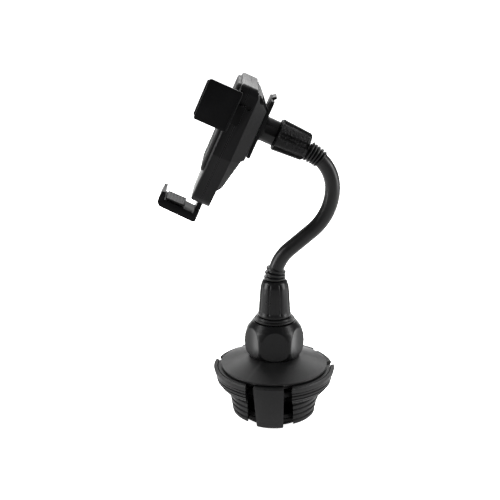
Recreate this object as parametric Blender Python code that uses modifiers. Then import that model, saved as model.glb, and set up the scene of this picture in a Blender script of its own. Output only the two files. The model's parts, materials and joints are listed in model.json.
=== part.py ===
"""Cup-holder phone mount: expanding base, gooseneck, ball joint and spring-arm cradle.

Metres, +Z up. The origin is the middle of the foot pad's underside. The phone faces -Y, and the
gooseneck bends in the YZ plane. The base is clocked a few degrees about Z against the neck.
"""

import math

import bmesh
import bpy
from mathutils import Euler, Matrix, Vector

# ---- shared ----------------------------------------------------------------------------------
GAP = 0.0003                      # clearance between neighbouring pieces
LOBES = 3                         # wings, columns and cam slots round the base
LOBE_STEP = math.tau / LOBES
BASE_CLOCK = math.radians(-6.7)   # turn of the base against the neck's plane

# ---- base: heights above the cup's floor, radii from the Z axis ------------------------------
FOOT_RADIUS = 0.0215
FOOT_TOP = 0.0015
COVER_TOP = 0.0044
CORE_FLOOR_TOP = 0.0077
CORE_FLOOR_RADIUS = 0.0220
HUB_RADIUS = 0.0080
BOLT_RADIUS = 0.0040
COVER_SCREW_ORBIT = 0.0165
DECK_BOTTOM = 0.0210
DECK_TOP = 0.0247
DECK_RADIUS = 0.0243
COLUMN_HALF_ANGLE = math.radians(15.6)  # of the part inside the deck
COLUMN_FLARE = (0.0160, 0.0205)   # where the column widens to its outer width
COLUMN_HALF_WIDTHS = (0.0089, 0.0100)   # at its bottom and top radii
COLUMN_BOTTOM_RADIUS = 0.0272
COLUMN_TOP_RADIUS = 0.0400
COLUMN_INNER_TOP = 0.0290         # under the cam disc
WING_TOP = 0.0342                 # also the columns' outer top
WING_HALF_ANGLE = math.radians(60)      # its ends run parallel to the columns beside it
WING_APEX = 0.0173                # where the planes of its two ends meet
WING_TRAVEL = 0.0090
WING_BOTTOM = 0.0022
WING_SIDE = (                     # radius and height down the upper tier, then the lower one
    (0.0408, WING_TOP), (0.0385, 0.0255), (0.0355, 0.0215), (0.0303, 0.0187), (0.0276, WING_BOTTOM),
)
PAD_THICKNESS = 0.0026
WALL = 0.0022
RIDGE_DEPTH = 0.0009
RIDGE_SHAPE = ((0.0, RIDGE_DEPTH), (0.25, 0.0), (0.75, 0.0))   # share of the pitch, depth
UPPER_RIDGES = 5
UPPER_BAND = 0.0052               # plain height at the top of the upper tier
LOWER_RIDGES = 4
TONGUE_WIDTH = 0.0120
TONGUE_END = 0.0340
TONGUE_INNER_RADIUS = 0.0100
PIN_RADIUS = 0.0016
PIN_ORBIT = 0.0132                # follower pin's radius with the wings in
CAM_BOTTOM = 0.0296
CAM_TOP = 0.0326
CAM_RADIUS = 0.0256
CAM_SLOT_HALF_WIDTH = 0.0020
KNOB_TURN = math.radians(100)     # knob turn that moves the wings through WING_TRAVEL
DISC_RADIUS = 0.0355
DISC_RIM_BOTTOM = 0.0347
DISC_RIM_TOP = 0.0362
DISC_TOP = 0.0428
DISC_COLLAR_RADIUS = 0.0166
SLEEVE_RADIUS = 0.0084
SLEEVE_TOP = 0.0560

# ---- knob and neck ferrule -------------------------------------------------------------------
KNOB_BOTTOM = DISC_TOP + GAP
KNOB_TOP = 0.0668
KNOB_RADIUS = 0.0199
KNOB_MOUTH_RADIUS = 0.0145
DIMPLE_HEIGHT = 0.0538
KNOB_DIMPLES = 6
RING_BOTTOM = KNOB_TOP + GAP
RING_TOP = 0.0712
RING_RADIUS = 0.0134
FERRULE_TOP = 0.0950
FERRULE_RADII = (0.0112, 0.0083)
FERRULE_FLUTES = 8
NUT_BOTTOM = 0.0765
NUT_TOP = 0.0805

# ---- gooseneck: a chain of arcs in the YZ plane, then a straight stem into the ball ----------
NECK_RADIUS = 0.0050
BOOT_RADII = (0.0072, 0.0066)     # fins at the rigid end and at the flexible end
UPPER_BOOT_RADII = (0.0076, 0.0061)
BOOT_LENGTH = 0.0080
UPPER_BOOT_LENGTH = 0.0085
NECK_START = Vector((0.0, 0.0, FERRULE_TOP + GAP))
NECK_PATH = (                     # (radius or None for straight, turn or length)
    (0.027, math.radians(49)),
    (None, 0.019),
    (0.037, math.radians(-49)),
    (0.026, math.radians(-58)),
    (None, 0.0164),
)
NECK_PIVOTS = (0.013, 0.0285, 0.044, 0.0595, 0.075, 0.0905)
STEM_LENGTH = 0.0135
SEGMENT_GAP = 0.0018              # between a link's end and the next pivot
SOCKET_RADIUS = 0.00535           # hollow end of a neck segment, round the next one's ball end
SEGMENT_BALL = 0.00465

# ---- ball joint: distances along the head's rearward axis, from the mount plate --------------
HEAD_TILT = math.radians(-24)     # rotation of the head's frame about X
BALL_BACK = 0.0222
BALL_RADIUS = 0.0052
STEM_RADIUS = 0.0028
LINER_WALL = 0.0005
LINER_GAP = 0.00025
COLLET_RADIUS = 0.0083
COLLET_INNER_RADIUS = 0.0079
COLLET_SHOULDER = 0.0110
COLLET_END = 0.0266
COLLET_SLOT = 0.0016              # half width
NUT_START = 0.0114
NUT_END = 0.0330
NUT_RADII = (0.0104, 0.0092)
NUT_BORE = 0.0082
NUT_MOUTH = 0.0074
NUT_GROOVES = 6

# ---- cradle, in the head's frame: x across, y rearward from the plate, z up the screen -------
PLATE_WIDTH = 0.0340
PLATE_THICKNESS = 0.0020
PLATE_BOTTOM = -0.0200
PLATE_TOP = 0.0222
BODY_FRONT = -0.0222
BODY_SPLIT = -0.0162
BODY_REAR = -0.0098
BODY_HALF_WIDTH = 0.0300
BODY_FOOT_HALF_WIDTH = 0.0205
BODY_TOP = 0.0238
BODY_BOTTOM = -0.0570
BODY_TAPER_START = -0.0220
BODY_WALL = 0.0018
BULGE_HALF_WIDTH = 0.0190         # of the hollow behind the plate
HIP_START = -0.0112               # the back's slanted sides run between these depths
HIP_END = -0.0012
HIP_INSETS = (0.0004, 0.0110)     # from the cradle's outline at those depths
ARM_PLATE_INNER = 0.0348
ARM_PLATE_OUTER = 0.0372
ARM_FRONT = -0.0408
ARM_REAR = -0.0195
ARM_LOW = -0.0058
ARM_HIGH = 0.0197
ARM_STAGGER = -0.0105             # how much lower the left arm's plate sits
LEG_FRONT = -0.0178
LEG_REAR = -0.0148
LEG_LOW = 0.0
LEG_HIGH = 0.0120
PINION_HEIGHT = 0.0060
PINION_TEETH = 9
PINION_PITCH_RADIUS = 0.0036
TOOTH_HALF_HEIGHT = 0.0007
TOOTH_ROOT_WIDTH = 0.0011
TOOTH_TIP_WIDTH = 0.0005
FOOT_NOSE = -0.0405
FOOT_BASE = -0.0709
SHELF_TOP = -0.0654
HOOK_TOP = -0.0603
FOOT_HALF_WIDTH = 0.0110
RAIL_HALF_WIDTH = 0.0090
RAIL_TOP = -0.0360
RAIL_FRONT = -0.0168
RAIL_REAR = -0.0136
LEVER_PIVOT = (-0.0085, -0.0140)  # y, z
BUTTON_HEIGHT = -0.0270
SHELL_SCREWS = ((0.0240, 0.0185), (-0.0240, 0.0185), (0.0175, -0.0440), (-0.0175, -0.0440))


# ---- scene -----------------------------------------------------------------------------------
for old in list(bpy.data.objects):
    bpy.data.objects.remove(old, do_unlink=True)
PARTS = bpy.data.collections.new("car_phone_mount")
CUTTERS = bpy.data.collections.new("cutters")
CUTTERS.hide_render = True
bpy.context.scene.collection.children.link(PARTS)
bpy.context.scene.collection.children.link(CUTTERS)


def material(name, colour, roughness, metallic=0.0):
    """A Principled material."""
    made = bpy.data.materials.new(name)
    made.use_nodes = True
    shader = made.node_tree.nodes["Principled BSDF"]
    shader.inputs["Base Color"].default_value = (*colour, 1.0)
    shader.inputs["Roughness"].default_value = roughness
    shader.inputs["Metallic"].default_value = metallic
    return made


FINISHES = {
    "matte": ((0.010, 0.010, 0.0105), 0.55, 0.0),
    "satin": ((0.010, 0.010, 0.0105), 0.38, 0.0),
    "rubber": ((0.014, 0.014, 0.0145), 0.80, 0.0),
    "steel": ((0.560, 0.560, 0.570), 0.35, 1.0),
    "acetal": ((0.700, 0.690, 0.660), 0.45, 0.0),
}


# ---- frames ----------------------------------------------------------------------------------
def frame_empty(name, parent=None, location=(0, 0, 0), rotation=(0, 0, 0)):
    """An empty that carries a sub-assembly's frame or a joint's axis."""
    empty = bpy.data.objects.new(name, None)
    empty.empty_display_size = 0.01
    empty.location = location
    empty.rotation_euler = rotation
    empty.parent = parent
    PARTS.objects.link(empty)
    return empty


def neck_point(distance):
    """The centreline's point and its heading (angle from +Z towards +Y) at a distance along it."""
    point = NECK_START.copy()
    heading = 0.0
    left = distance
    for radius, amount in NECK_PATH:
        length = amount if radius is None else radius * abs(amount)
        step = min(left, length)
        if radius is None:
            point += step * Vector((0, math.sin(heading), math.cos(heading)))
        else:
            side = math.copysign(1, amount)
            turn = side * step / radius
            centre = point + side * radius * Vector((0, math.cos(heading), -math.sin(heading)))
            heading += turn
            point = centre - side * radius * Vector((0, math.cos(heading), -math.sin(heading)))
        left -= step
        if left <= 0:
            break
    return point, heading


NECK_LENGTH = sum(amount if radius is None else radius * abs(amount) for radius, amount in NECK_PATH)
BALL_CENTRE = neck_point(NECK_LENGTH)[0]
HEAD_ROTATION = Euler((HEAD_TILT, 0, 0)).to_matrix()
HEAD_ORIGIN = BALL_CENTRE - HEAD_ROTATION @ Vector((0, BALL_BACK, 0))

BASE = frame_empty("base_frame", rotation=(0, 0, BASE_CLOCK))
KNOB_AXIS = frame_empty("knob_turn_axis", BASE)
WINGS = [
    frame_empty(f"wing_slide_axis_{n + 1}", BASE, rotation=(0, 0, (n - 0.5) * LOBE_STEP))
    for n in range(LOBES)
]
COLUMNS = [
    frame_empty(f"column_frame_{n + 1}", BASE, rotation=(0, 0, n * LOBE_STEP)) for n in range(LOBES)
]
BALL = frame_empty("ball_joint_axes", location=BALL_CENTRE, rotation=(HEAD_TILT, 0, 0))
HEAD = frame_empty("head_frame", location=HEAD_ORIGIN, rotation=(HEAD_TILT, 0, 0))


# ---- shapes ----------------------------------------------------------------------------------
def add(name, mesh, parent, finish, collection=PARTS):
    """An object for a mesh, in its parent's frame, with a material of its own."""
    made = bpy.data.objects.new(name, mesh)
    made.parent = parent
    collection.objects.link(made)
    if finish:
        mesh.materials.append(material(name, *FINISHES[finish]))
        mesh.shade_smooth()
        mesh.set_sharp_from_angle(angle=math.radians(32))
    else:
        made.hide_render = True
        made.display_type = "WIRE"
    return made


def piece(name, build, parent, finish):
    """An object from a function that fills a bmesh. No finish makes it a cutter."""
    mesh = bpy.data.meshes.new(name)
    shape = bmesh.new()
    build(shape)
    bmesh.ops.recalc_face_normals(shape, faces=shape.faces)
    shape.to_mesh(mesh)
    shape.free()
    return add(name, mesh, parent, finish, PARTS if finish else CUTTERS)


def box(name, low, high, parent, finish=None):
    """A box between two corners."""
    size = Vector(high) - Vector(low)
    middle = (Vector(high) + Vector(low)) / 2
    matrix = Matrix.Translation(middle) @ Matrix.Diagonal((*size, 1))
    return piece(name, lambda b: bmesh.ops.create_cube(b, size=1, matrix=matrix), parent, finish)


def cylinder(name, radii, start, end, parent, finish=None, sides=24):
    """A cylinder or cone from one point to another."""
    start = Vector(start)
    along = Vector(end) - start
    turn = along.to_track_quat("Z", "Y").to_matrix().to_4x4()
    matrix = Matrix.Translation(start + along / 2) @ turn

    def build(shape):
        bmesh.ops.create_cone(
            shape, cap_ends=True, segments=sides, radius1=radii[0], radius2=radii[1],
            depth=along.length, matrix=matrix,
        )

    return piece(name, build, parent, finish)


def ball(name, radius, centre, parent, finish=None, scale=(1, 1, 1), sides=16):
    """A sphere, or an ellipsoid through its scale."""
    matrix = Matrix.Translation(Vector(centre)) @ Matrix.Diagonal((*scale, 1))

    def build(shape):
        bmesh.ops.create_uvsphere(
            shape, u_segments=sides, v_segments=sides // 2 + 2, radius=radius, matrix=matrix
        )

    return piece(name, build, parent, finish)


def turned(name, profile, parent, finish=None, steps=30, closed=False, axis="Z"):
    """A profile of (radius, height) points turned about an axis, facing out whichever way it runs."""
    mesh = bpy.data.meshes.new(name)
    if axis == "Z":
        points = [(radius, 0, height) for radius, height in profile]
    else:
        points = [(radius, height, 0) for radius, height in profile]
    edges = [(n, n + 1) for n in range(len(points) - 1)]
    if closed:
        edges.append((len(points) - 1, 0))
    mesh.from_pydata(points, edges, [])
    made = add(name, mesh, parent, finish, PARTS if finish else CUTTERS)
    screw = made.modifiers.new("turn", "SCREW")
    screw.axis = axis
    screw.steps = steps
    screw.render_steps = steps
    screw.use_smooth_shade = True
    screw.use_merge_vertices = True
    screw.merge_threshold = 1e-6
    ends = zip(profile, profile[1:] + profile[:1])
    screw.use_normal_flip = sum(a[0] * b[1] - b[0] * a[1] for a, b in ends) > 0
    return made


def outline(name, points, low, high, parent, finish=None, plane="XZ"):
    """A flat outline filled and extruded between two heights, as a mesh.

    plane XZ extrudes along y, plane YZ along x and plane XY along z.
    """
    curve = bpy.data.curves.new(name, "CURVE")
    curve.dimensions = "2D"
    curve.fill_mode = "BOTH"
    curve.extrude = (high - low) / 2
    spline = curve.splines.new("POLY")
    spline.points.add(len(points) - 1)
    for target, (across, up) in zip(spline.points, points):
        target.co = (across, up, 0, 1)
    spline.use_cyclic_u = True
    drawn = bpy.data.objects.new(name + "_outline", curve)
    CUTTERS.objects.link(drawn)
    middle = (high + low) / 2
    turns = {
        "XY": Matrix.Translation((0, 0, middle)),
        "XZ": Matrix.Translation((0, middle, 0)) @ Matrix.Rotation(math.radians(90), 4, "X"),
        "YZ": Matrix(((0, 0, 1, middle), (1, 0, 0, 0), (0, 1, 0, 0), (0, 0, 0, 1))),
    }
    return solid_from(drawn, name, parent, finish, turns[plane])


def solid_from(drawn, name, parent, finish, matrix=Matrix.Identity(4)):
    """A curve object's evaluated mesh with welded caps, as an object. The curve is removed."""
    bpy.context.view_layer.update()
    graph = bpy.context.evaluated_depsgraph_get()
    mesh = bpy.data.meshes.new_from_object(drawn.evaluated_get(graph))
    mesh.name = name
    mesh.materials.clear()
    shape = bmesh.new()
    shape.from_mesh(mesh)
    bmesh.ops.remove_doubles(shape, verts=shape.verts, dist=1e-6)
    bmesh.ops.transform(shape, matrix=matrix, verts=shape.verts)
    bmesh.ops.recalc_face_normals(shape, faces=shape.faces)
    shape.to_mesh(mesh)
    shape.free()
    bpy.data.objects.remove(drawn, do_unlink=True)
    return add(name, mesh, parent, finish, PARTS if finish else CUTTERS)


def tube(name, points, radius, parent, finish=None, sizes=None, resolution=2):
    """A round bar along a list of points; sizes scales its radius at each point."""
    curve = bpy.data.curves.new(name, "CURVE")
    curve.dimensions = "3D"
    curve.bevel_depth = radius
    curve.bevel_resolution = resolution
    curve.use_fill_caps = True
    spline = curve.splines.new("POLY")
    spline.points.add(len(points) - 1)
    for n, (target, point) in enumerate(zip(spline.points, points)):
        target.co = (*point, 1)
        target.radius = sizes[n] if sizes else 1.0
    drawn = bpy.data.objects.new(name + "_path", curve)
    CUTTERS.objects.link(drawn)
    return solid_from(drawn, name, parent, finish)


def combine(target, others, operation):
    """Adds one exact Boolean per other object."""
    for other in others:
        modifier = target.modifiers.new(operation.lower(), "BOOLEAN")
        modifier.operation = operation
        modifier.solver = "EXACT"
        modifier.object = other


def cut(target, *others):
    combine(target, others, "DIFFERENCE")


def join(target, *others):
    combine(target, others, "UNION")


def keep(target, *others):
    combine(target, others, "INTERSECT")


def bevel(target, width, segments=1, angle=40):
    """Breaks the edges sharper than an angle."""
    modifier = target.modifiers.new("edges", "BEVEL")
    modifier.width = width
    modifier.segments = segments
    modifier.limit_method = "ANGLE"
    modifier.angle_limit = math.radians(angle)
    modifier.miter_outer = "MITER_ARC"


def arc(centre, radius, start, end, count):
    """Points along an arc, angles in degrees."""
    angles = [math.radians(start + (end - start) * n / (count - 1)) for n in range(count)]
    return [(centre[0] + radius * math.cos(a), centre[1] + radius * math.sin(a)) for a in angles]


def lerp(start, end, share):
    return start + (end - start) * share


# ---- base ------------------------------------------------------------------------------------
def plan_cutter(name, side, parent):
    """A cutter about +X in its parent's frame, from one side of its plan, inner end first."""
    points = side + [(x, -y) for x, y in reversed(side) if y]
    return outline(name, points, -0.01, 0.06, parent, plane="XY")


def column_cutter(name, parent):
    """A slim sector inside the deck, then the column's nearly parallel sides."""
    reach = 0.07
    slope = (COLUMN_HALF_WIDTHS[1] - COLUMN_HALF_WIDTHS[0]) / (COLUMN_TOP_RADIUS - COLUMN_BOTTOM_RADIUS)

    def half_width(radius):
        return COLUMN_HALF_WIDTHS[0] + slope * (radius - COLUMN_BOTTOM_RADIUS)

    start, end = COLUMN_FLARE
    side = [
        (0.0, 0.0), (start, start * math.tan(COLUMN_HALF_ANGLE)), (end, half_width(end)),
        (reach, half_width(reach)),
    ]
    return plan_cutter(name, side, parent)


def wing_cutter(name, parent):
    """A wide wedge whose sides stay parallel to the columns on either side."""
    reach = 0.07
    side = [(WING_APEX, 0.0), (reach, (reach - WING_APEX) * math.tan(WING_HALF_ANGLE))]
    return plan_cutter(name, side, parent)


def outward(start, end):
    """The outward direction of a side that runs down from one (radius, height) point to another."""
    step = (Vector(end) - Vector(start)).normalized()
    return Vector((-step.y, step.x))


def inset_side(points, inset):
    """A side moved inward by an inset, with mitred corners and its ends' heights kept."""
    normals = [outward(a, b) for a, b in zip(points, points[1:])]
    moved = [(points[0][0] - inset / normals[0].x, points[0][1])]
    for n in range(1, len(points) - 1):
        middle = (normals[n - 1] + normals[n]).normalized()
        mitre = inset / middle.dot(normals[n])
        moved.append(tuple(Vector(points[n]) - mitre * middle))
    moved.append((points[-1][0] - inset / normals[-1].x, points[-1][1]))
    return moved


def along(points, share):
    """The point at a share of the way down a side, and the side's outward direction there."""
    lengths = [(Vector(b) - Vector(a)).length for a, b in zip(points, points[1:])]
    left = share * sum(lengths)
    last = 0
    while last < len(lengths) - 1 and left > lengths[last]:
        left -= lengths[last]
        last += 1
    start = Vector(points[last])
    end = Vector(points[last + 1])
    return start.lerp(end, left / lengths[last]), outward(start, end)


def ridged(points, count):
    """A side cut into ridges, top to bottom, with a groove above each and below the last."""
    cuts = [(n + share, depth) for n in range(count) for share, depth in RIDGE_SHAPE]
    cuts.append((count, RIDGE_DEPTH))
    face = []
    for place, depth in cuts:
        point, out = along(points, place / count)
        face.append(tuple(point - depth * out))
    return face


def make_foot():
    turned(
        "foot_pad",
        [
            (0, FOOT_TOP), (FOOT_RADIUS, FOOT_TOP), (FOOT_RADIUS + 0.0004, 0.0004),
            (FOOT_RADIUS, 0), (0, 0),
        ],
        BASE, "rubber",
    )
    cover = cylinder(
        "bottom_cover", (CORE_FLOOR_RADIUS, CORE_FLOOR_RADIUS),
        (0, 0, FOOT_TOP + GAP), (0, 0, COVER_TOP), BASE, "matte", 48,
    )
    for n, column in enumerate(COLUMNS):
        hole = cylinder(
            f"cover_hole_{n + 1}", (0.0013, 0.0013),
            (COVER_SCREW_ORBIT, 0, 0), (COVER_SCREW_ORBIT, 0, 0.01), column, sides=12,
        )
        sink = cylinder(
            f"cover_sink_{n + 1}", (0.0027, 0.0027),
            (COVER_SCREW_ORBIT, 0, 0), (COVER_SCREW_ORBIT, 0, 0.0039), column, sides=12,
        )
        cut(cover, hole, sink)
        turned(
            f"cover_screw_{n + 1}",
            [
                (0, 0.0150), (0.0010, 0.0150), (0.0010, 0.0036), (0.0024, 0.0036),
                (0.0024, 0.0019), (0, 0.0019),
            ],
            frame_empty(f"cover_screw_frame_{n + 1}", column, (COVER_SCREW_ORBIT, 0, 0)), "steel", 10,
        )


def make_core():
    """Hub, floor, deck and three columns in one moulding."""
    core = turned(
        "base_core",
        [
            (HUB_RADIUS, DECK_TOP), (DECK_RADIUS, DECK_TOP), (DECK_RADIUS, DECK_BOTTOM),
            (HUB_RADIUS, DECK_BOTTOM), (HUB_RADIUS, CORE_FLOOR_TOP), (CORE_FLOOR_RADIUS, CORE_FLOOR_TOP),
            (CORE_FLOOR_RADIUS, COVER_TOP + GAP), (0, COVER_TOP + GAP), (0, DECK_TOP + 0.0030),
            (HUB_RADIUS, DECK_TOP + 0.0030),
        ],
        BASE, "matte", closed=True,
    )
    sides = [
        (CAM_RADIUS + 0.0025, WING_TOP), (COLUMN_TOP_RADIUS - 0.0006, WING_TOP),
        (COLUMN_TOP_RADIUS, WING_TOP - 0.0008), (COLUMN_BOTTOM_RADIUS + 0.0006, 0.0012),
        (COLUMN_BOTTOM_RADIUS, 0.0006), (CORE_FLOOR_RADIUS + 0.0012, 0.0006),
        (CORE_FLOOR_RADIUS + 0.0012, COVER_TOP + 2 * GAP), (0.006, COVER_TOP + 2 * GAP),
        (0.006, COLUMN_INNER_TOP), (CAM_RADIUS + 0.0025, COLUMN_INNER_TOP),
    ]
    for n, column in enumerate(COLUMNS):
        ring = turned(f"column_ring_{n + 1}", sides, column, closed=True)
        keep(ring, column_cutter(f"column_plan_{n + 1}", column))
        join(core, ring)
    for n, wing in enumerate(WINGS):
        for side in (-1, 1):
            edge = side * (TONGUE_WIDTH / 2 + 0.0004)
            far = edge + side * 0.0020
            rail = box(
                f"guide_rail_{n + 1}_{side}", (0.0150, min(edge, far), DECK_TOP - 0.001),
                (DECK_RADIUS - 0.0022, max(edge, far), DECK_TOP + 0.0030), wing,
            )
            join(core, rail)
    bore = cylinder(
        "hub_bore", (BOLT_RADIUS + GAP, BOLT_RADIUS + GAP), (0, 0, 0), (0, 0, 0.04), BASE
    )
    pocket = cylinder("hub_pocket", (0.0070, 0.0070), (0, 0, 0), (0, 0, 0.0092), BASE, sides=6)
    cut(core, bore, pocket)
    for n, column in enumerate(COLUMNS):
        cut(core, cylinder(
            f"core_pilot_{n + 1}", (0.0013, 0.0013),
            (COVER_SCREW_ORBIT, 0, 0), (COVER_SCREW_ORBIT, 0, 0.0156), column, sides=12,
        ))


def make_disc():
    """The conical top disc, screwed to nothing: the knob's stack clamps it on the columns."""
    turned(
        "top_disc",
        [
            (0.0105, DISC_TOP), (DISC_COLLAR_RADIUS, DISC_TOP), (DISC_RADIUS - 0.0006, DISC_RIM_TOP),
            (DISC_RADIUS, DISC_RIM_TOP - 0.0005), (DISC_RADIUS, DISC_RIM_BOTTOM),
            (CAM_RADIUS + 0.0022, DISC_RIM_BOTTOM), (CAM_RADIUS + 0.0022, COLUMN_INNER_TOP + GAP),
            (CAM_RADIUS + 0.0006, COLUMN_INNER_TOP + GAP), (CAM_RADIUS + 0.0006, CAM_TOP + 0.0005),
            (0.0105, CAM_TOP + 0.0005),
        ],
        BASE, "matte", 36, closed=True,
    )


def cam_slot_outline(index):
    """A band round an Archimedean spiral: the wing's pin runs out as the disc turns."""
    rise = WING_TRAVEL / KNOB_TURN
    count = 13
    outer = []
    inner = []
    for n in range(count):
        turn = lerp(-math.radians(9), KNOB_TURN + math.radians(6), n / (count - 1))
        radius = PIN_ORBIT + rise * turn
        angle = (index - 0.5) * LOBE_STEP - turn
        slope = math.atan2(rise, radius)
        across = Vector((math.cos(angle + slope), math.sin(angle + slope)))
        middle = radius * Vector((math.cos(angle), math.sin(angle)))
        outer.append(tuple(middle + CAM_SLOT_HALF_WIDTH * across))
        inner.append(tuple(middle - CAM_SLOT_HALF_WIDTH * across))
    return outer + inner[::-1]


def make_knob():
    """The cam disc, the sleeve that drives it and the dimpled knob turn together."""
    cam = turned(
        "cam_disc",
        [
            (SLEEVE_RADIUS + GAP, CAM_TOP), (CAM_RADIUS, CAM_TOP), (CAM_RADIUS, CAM_BOTTOM),
            (SLEEVE_RADIUS + GAP, CAM_BOTTOM),
        ],
        KNOB_AXIS, "acetal", closed=True,
    )
    for n in range(LOBES):
        cut(cam, outline(f"cam_slot_{n + 1}", cam_slot_outline(n), 0.02, 0.04, KNOB_AXIS, plane="XY"))
    turned(
        "drive_sleeve",
        [
            (BOLT_RADIUS + 0.0010, SLEEVE_TOP), (SLEEVE_RADIUS, SLEEVE_TOP),
            (SLEEVE_RADIUS, CAM_BOTTOM), (BOLT_RADIUS + 0.0010, CAM_BOTTOM),
        ],
        KNOB_AXIS, "acetal", 20, closed=True,
    )
    knob = turned(
        "expansion_knob",
        [
            (KNOB_MOUTH_RADIUS - 0.002, KNOB_TOP), (KNOB_MOUTH_RADIUS, KNOB_TOP),
            (0.0182, KNOB_TOP - 0.0048), (0.0197, KNOB_TOP - 0.0095), (KNOB_RADIUS, KNOB_TOP - 0.0140),
            (KNOB_RADIUS - 0.0004, KNOB_BOTTOM + 0.0050), (0.0188, KNOB_BOTTOM + 0.0025),
            (0.0168, KNOB_BOTTOM), (0.0110, KNOB_BOTTOM), (0.0110, SLEEVE_TOP + 0.0010),
            (KNOB_MOUTH_RADIUS - 0.002, SLEEVE_TOP + 0.0030),
        ],
        KNOB_AXIS, "satin", 30, closed=True,
    )
    for n in range(KNOB_DIMPLES):
        angle = n * math.tau / KNOB_DIMPLES
        cutter = ball(
            f"knob_dimple_{n + 1}", 0.0100, (0.0216, 0, DIMPLE_HEIGHT),
            frame_empty(f"dimple_frame_{n + 1}", KNOB_AXIS, rotation=(0, 0, angle - BASE_CLOCK)),
            scale=(0.36, 0.98, 1.02), sides=12,
        )
        cut(knob, cutter)
    web = turned(
        "knob_web",
        [
            (SLEEVE_RADIUS + GAP, 0.0530), (0.0120, 0.0530), (0.0120, 0.0490), (SLEEVE_RADIUS + GAP, 0.0490),
        ],
        KNOB_AXIS, closed=True,
    )
    join(knob, web)


def make_wings():
    """Three sliding wings: a hard carrier with a pinned tongue, and a ridged rubber face."""
    for n, wing in enumerate(WINGS):
        outer = inset_side(WING_SIDE, PAD_THICKNESS + GAP)
        inner = inset_side(WING_SIDE, PAD_THICKNESS + GAP + WALL)
        inner[0] = (inner[0][0], WING_TOP - WALL)
        crown = (CAM_RADIUS + 0.0034, WING_TOP - WALL)
        shell = turned(
            f"wing_carrier_{n + 1}",
            [(crown[0], WING_TOP), *outer, *reversed(inner), crown],
            wing, "matte", closed=True,
        )
        keep(shell, wing_cutter(f"carrier_plan_{n + 1}", wing))
        tongue = box(
            f"tongue_{n + 1}", (TONGUE_INNER_RADIUS, -TONGUE_WIDTH / 2, DECK_TOP + GAP),
            (TONGUE_END, TONGUE_WIDTH / 2, COLUMN_INNER_TOP), wing,
        )
        pin = cylinder(
            f"follower_pin_{n + 1}", (PIN_RADIUS, PIN_RADIUS),
            (PIN_ORBIT, 0, DECK_TOP + 0.002), (PIN_ORBIT, 0, CAM_TOP - 0.0003), wing, sides=16,
        )
        join(shell, tongue, pin)
        back = inset_side(WING_SIDE, PAD_THICKNESS)
        top, shoulder, waist, step, bottom = WING_SIDE
        band = lerp(Vector(top), Vector(shoulder), UPPER_BAND / (top[1] - shoulder[1]))
        brow = (step[0] + 0.0015, step[1] + 0.0008)
        ledge = (step[0], step[1] - 0.0006)
        face = [
            (back[0][0], WING_TOP), top, tuple(band),
            *ridged([tuple(band - Vector((0.0004, 0.0))), shoulder, waist, brow], UPPER_RIDGES),
            *ridged([ledge, bottom], LOWER_RIDGES),
            *reversed(back[1:]),
        ]
        pad = turned(f"wing_pad_{n + 1}", face, wing, "rubber", closed=True)
        keep(pad, wing_cutter(f"pad_plan_{n + 1}", wing))


# ---- neck ------------------------------------------------------------------------------------
def make_ferrule():
    """The bolt up the middle holds the ferrule on the base, under a wave washer and a nut."""
    turned(
        "centre_bolt",
        [
            (0, 0.0830), (0.0036, 0.0830), (BOLT_RADIUS, 0.0824), (BOLT_RADIUS, 0.0088),
            (0.0060, 0.0088), (0.0060, COVER_TOP + 2 * GAP), (0, COVER_TOP + 2 * GAP),
        ],
        BASE, "steel", 16,
    )
    turned(
        "foot_ring",
        [
            (BOLT_RADIUS + 0.0006, RING_TOP - 0.0006), (0.0118, RING_TOP - 0.0006),
            (0.0122, RING_TOP - 0.0010), (0.0122, RING_TOP - 0.0017),
            (RING_RADIUS, RING_TOP - 0.0022), (RING_RADIUS, RING_BOTTOM + 0.0006),
            (RING_RADIUS - 0.0006, RING_BOTTOM), (BOLT_RADIUS + 0.0006, RING_BOTTOM),
        ],
        None, "satin", 28, closed=True,
    )
    low = RING_TOP - 0.0006 + GAP
    ferrule = turned(
        "neck_ferrule",
        [
            (0, FERRULE_TOP), (FERRULE_RADII[1] - 0.0008, FERRULE_TOP),
            (FERRULE_RADII[1], FERRULE_TOP - 0.0010),
            (0.0094, FERRULE_TOP - 0.0040), (0.0098, FERRULE_TOP - 0.0085), (0.0104, low + 0.0060),
            (0.0105, low + 0.0030), (FERRULE_RADII[0], low), (0.0062, low), (0.0062, 0.0760),
            (0.0080, 0.0760), (0.0080, 0.0850), (0, 0.0850),
        ],
        None, "satin", 28,
    )
    for n in range(FERRULE_FLUTES):
        angle = (n + 0.5) * math.tau / FERRULE_FLUTES + math.radians(22.5)
        out = Vector((math.cos(angle), math.sin(angle), 0))
        cut(ferrule, cylinder(
            f"flute_{n + 1}", (0.0009, 0.0009), out * 0.0110 + Vector((0, 0, low + 0.0030)),
            out * 0.0092 + Vector((0, 0, FERRULE_TOP + 0.0020)), None, sides=6,
        ))
    entry = cylinder(
        "ferrule_entry", (0.0079, 0.0079), (0, 0, 0.0710), (0, 0, 0.0765), None
    )
    cut(ferrule, entry)
    turned(
        "wave_washer",
        [(0.0072, 0.0746), (0.0072, 0.0742), (0.0045, 0.0732), (0.0045, 0.0736)],
        None, "steel", 16, closed=True,
    )
    nut = cylinder(
        "bolt_nut", (0.0062, 0.0062), (0, 0, NUT_BOTTOM), (0, 0, NUT_TOP), None, "steel", 6
    )
    cut(nut, cylinder("nut_thread", (0.0043, 0.0043), (0, 0, 0.07), (0, 0, 0.09), None))


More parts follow.
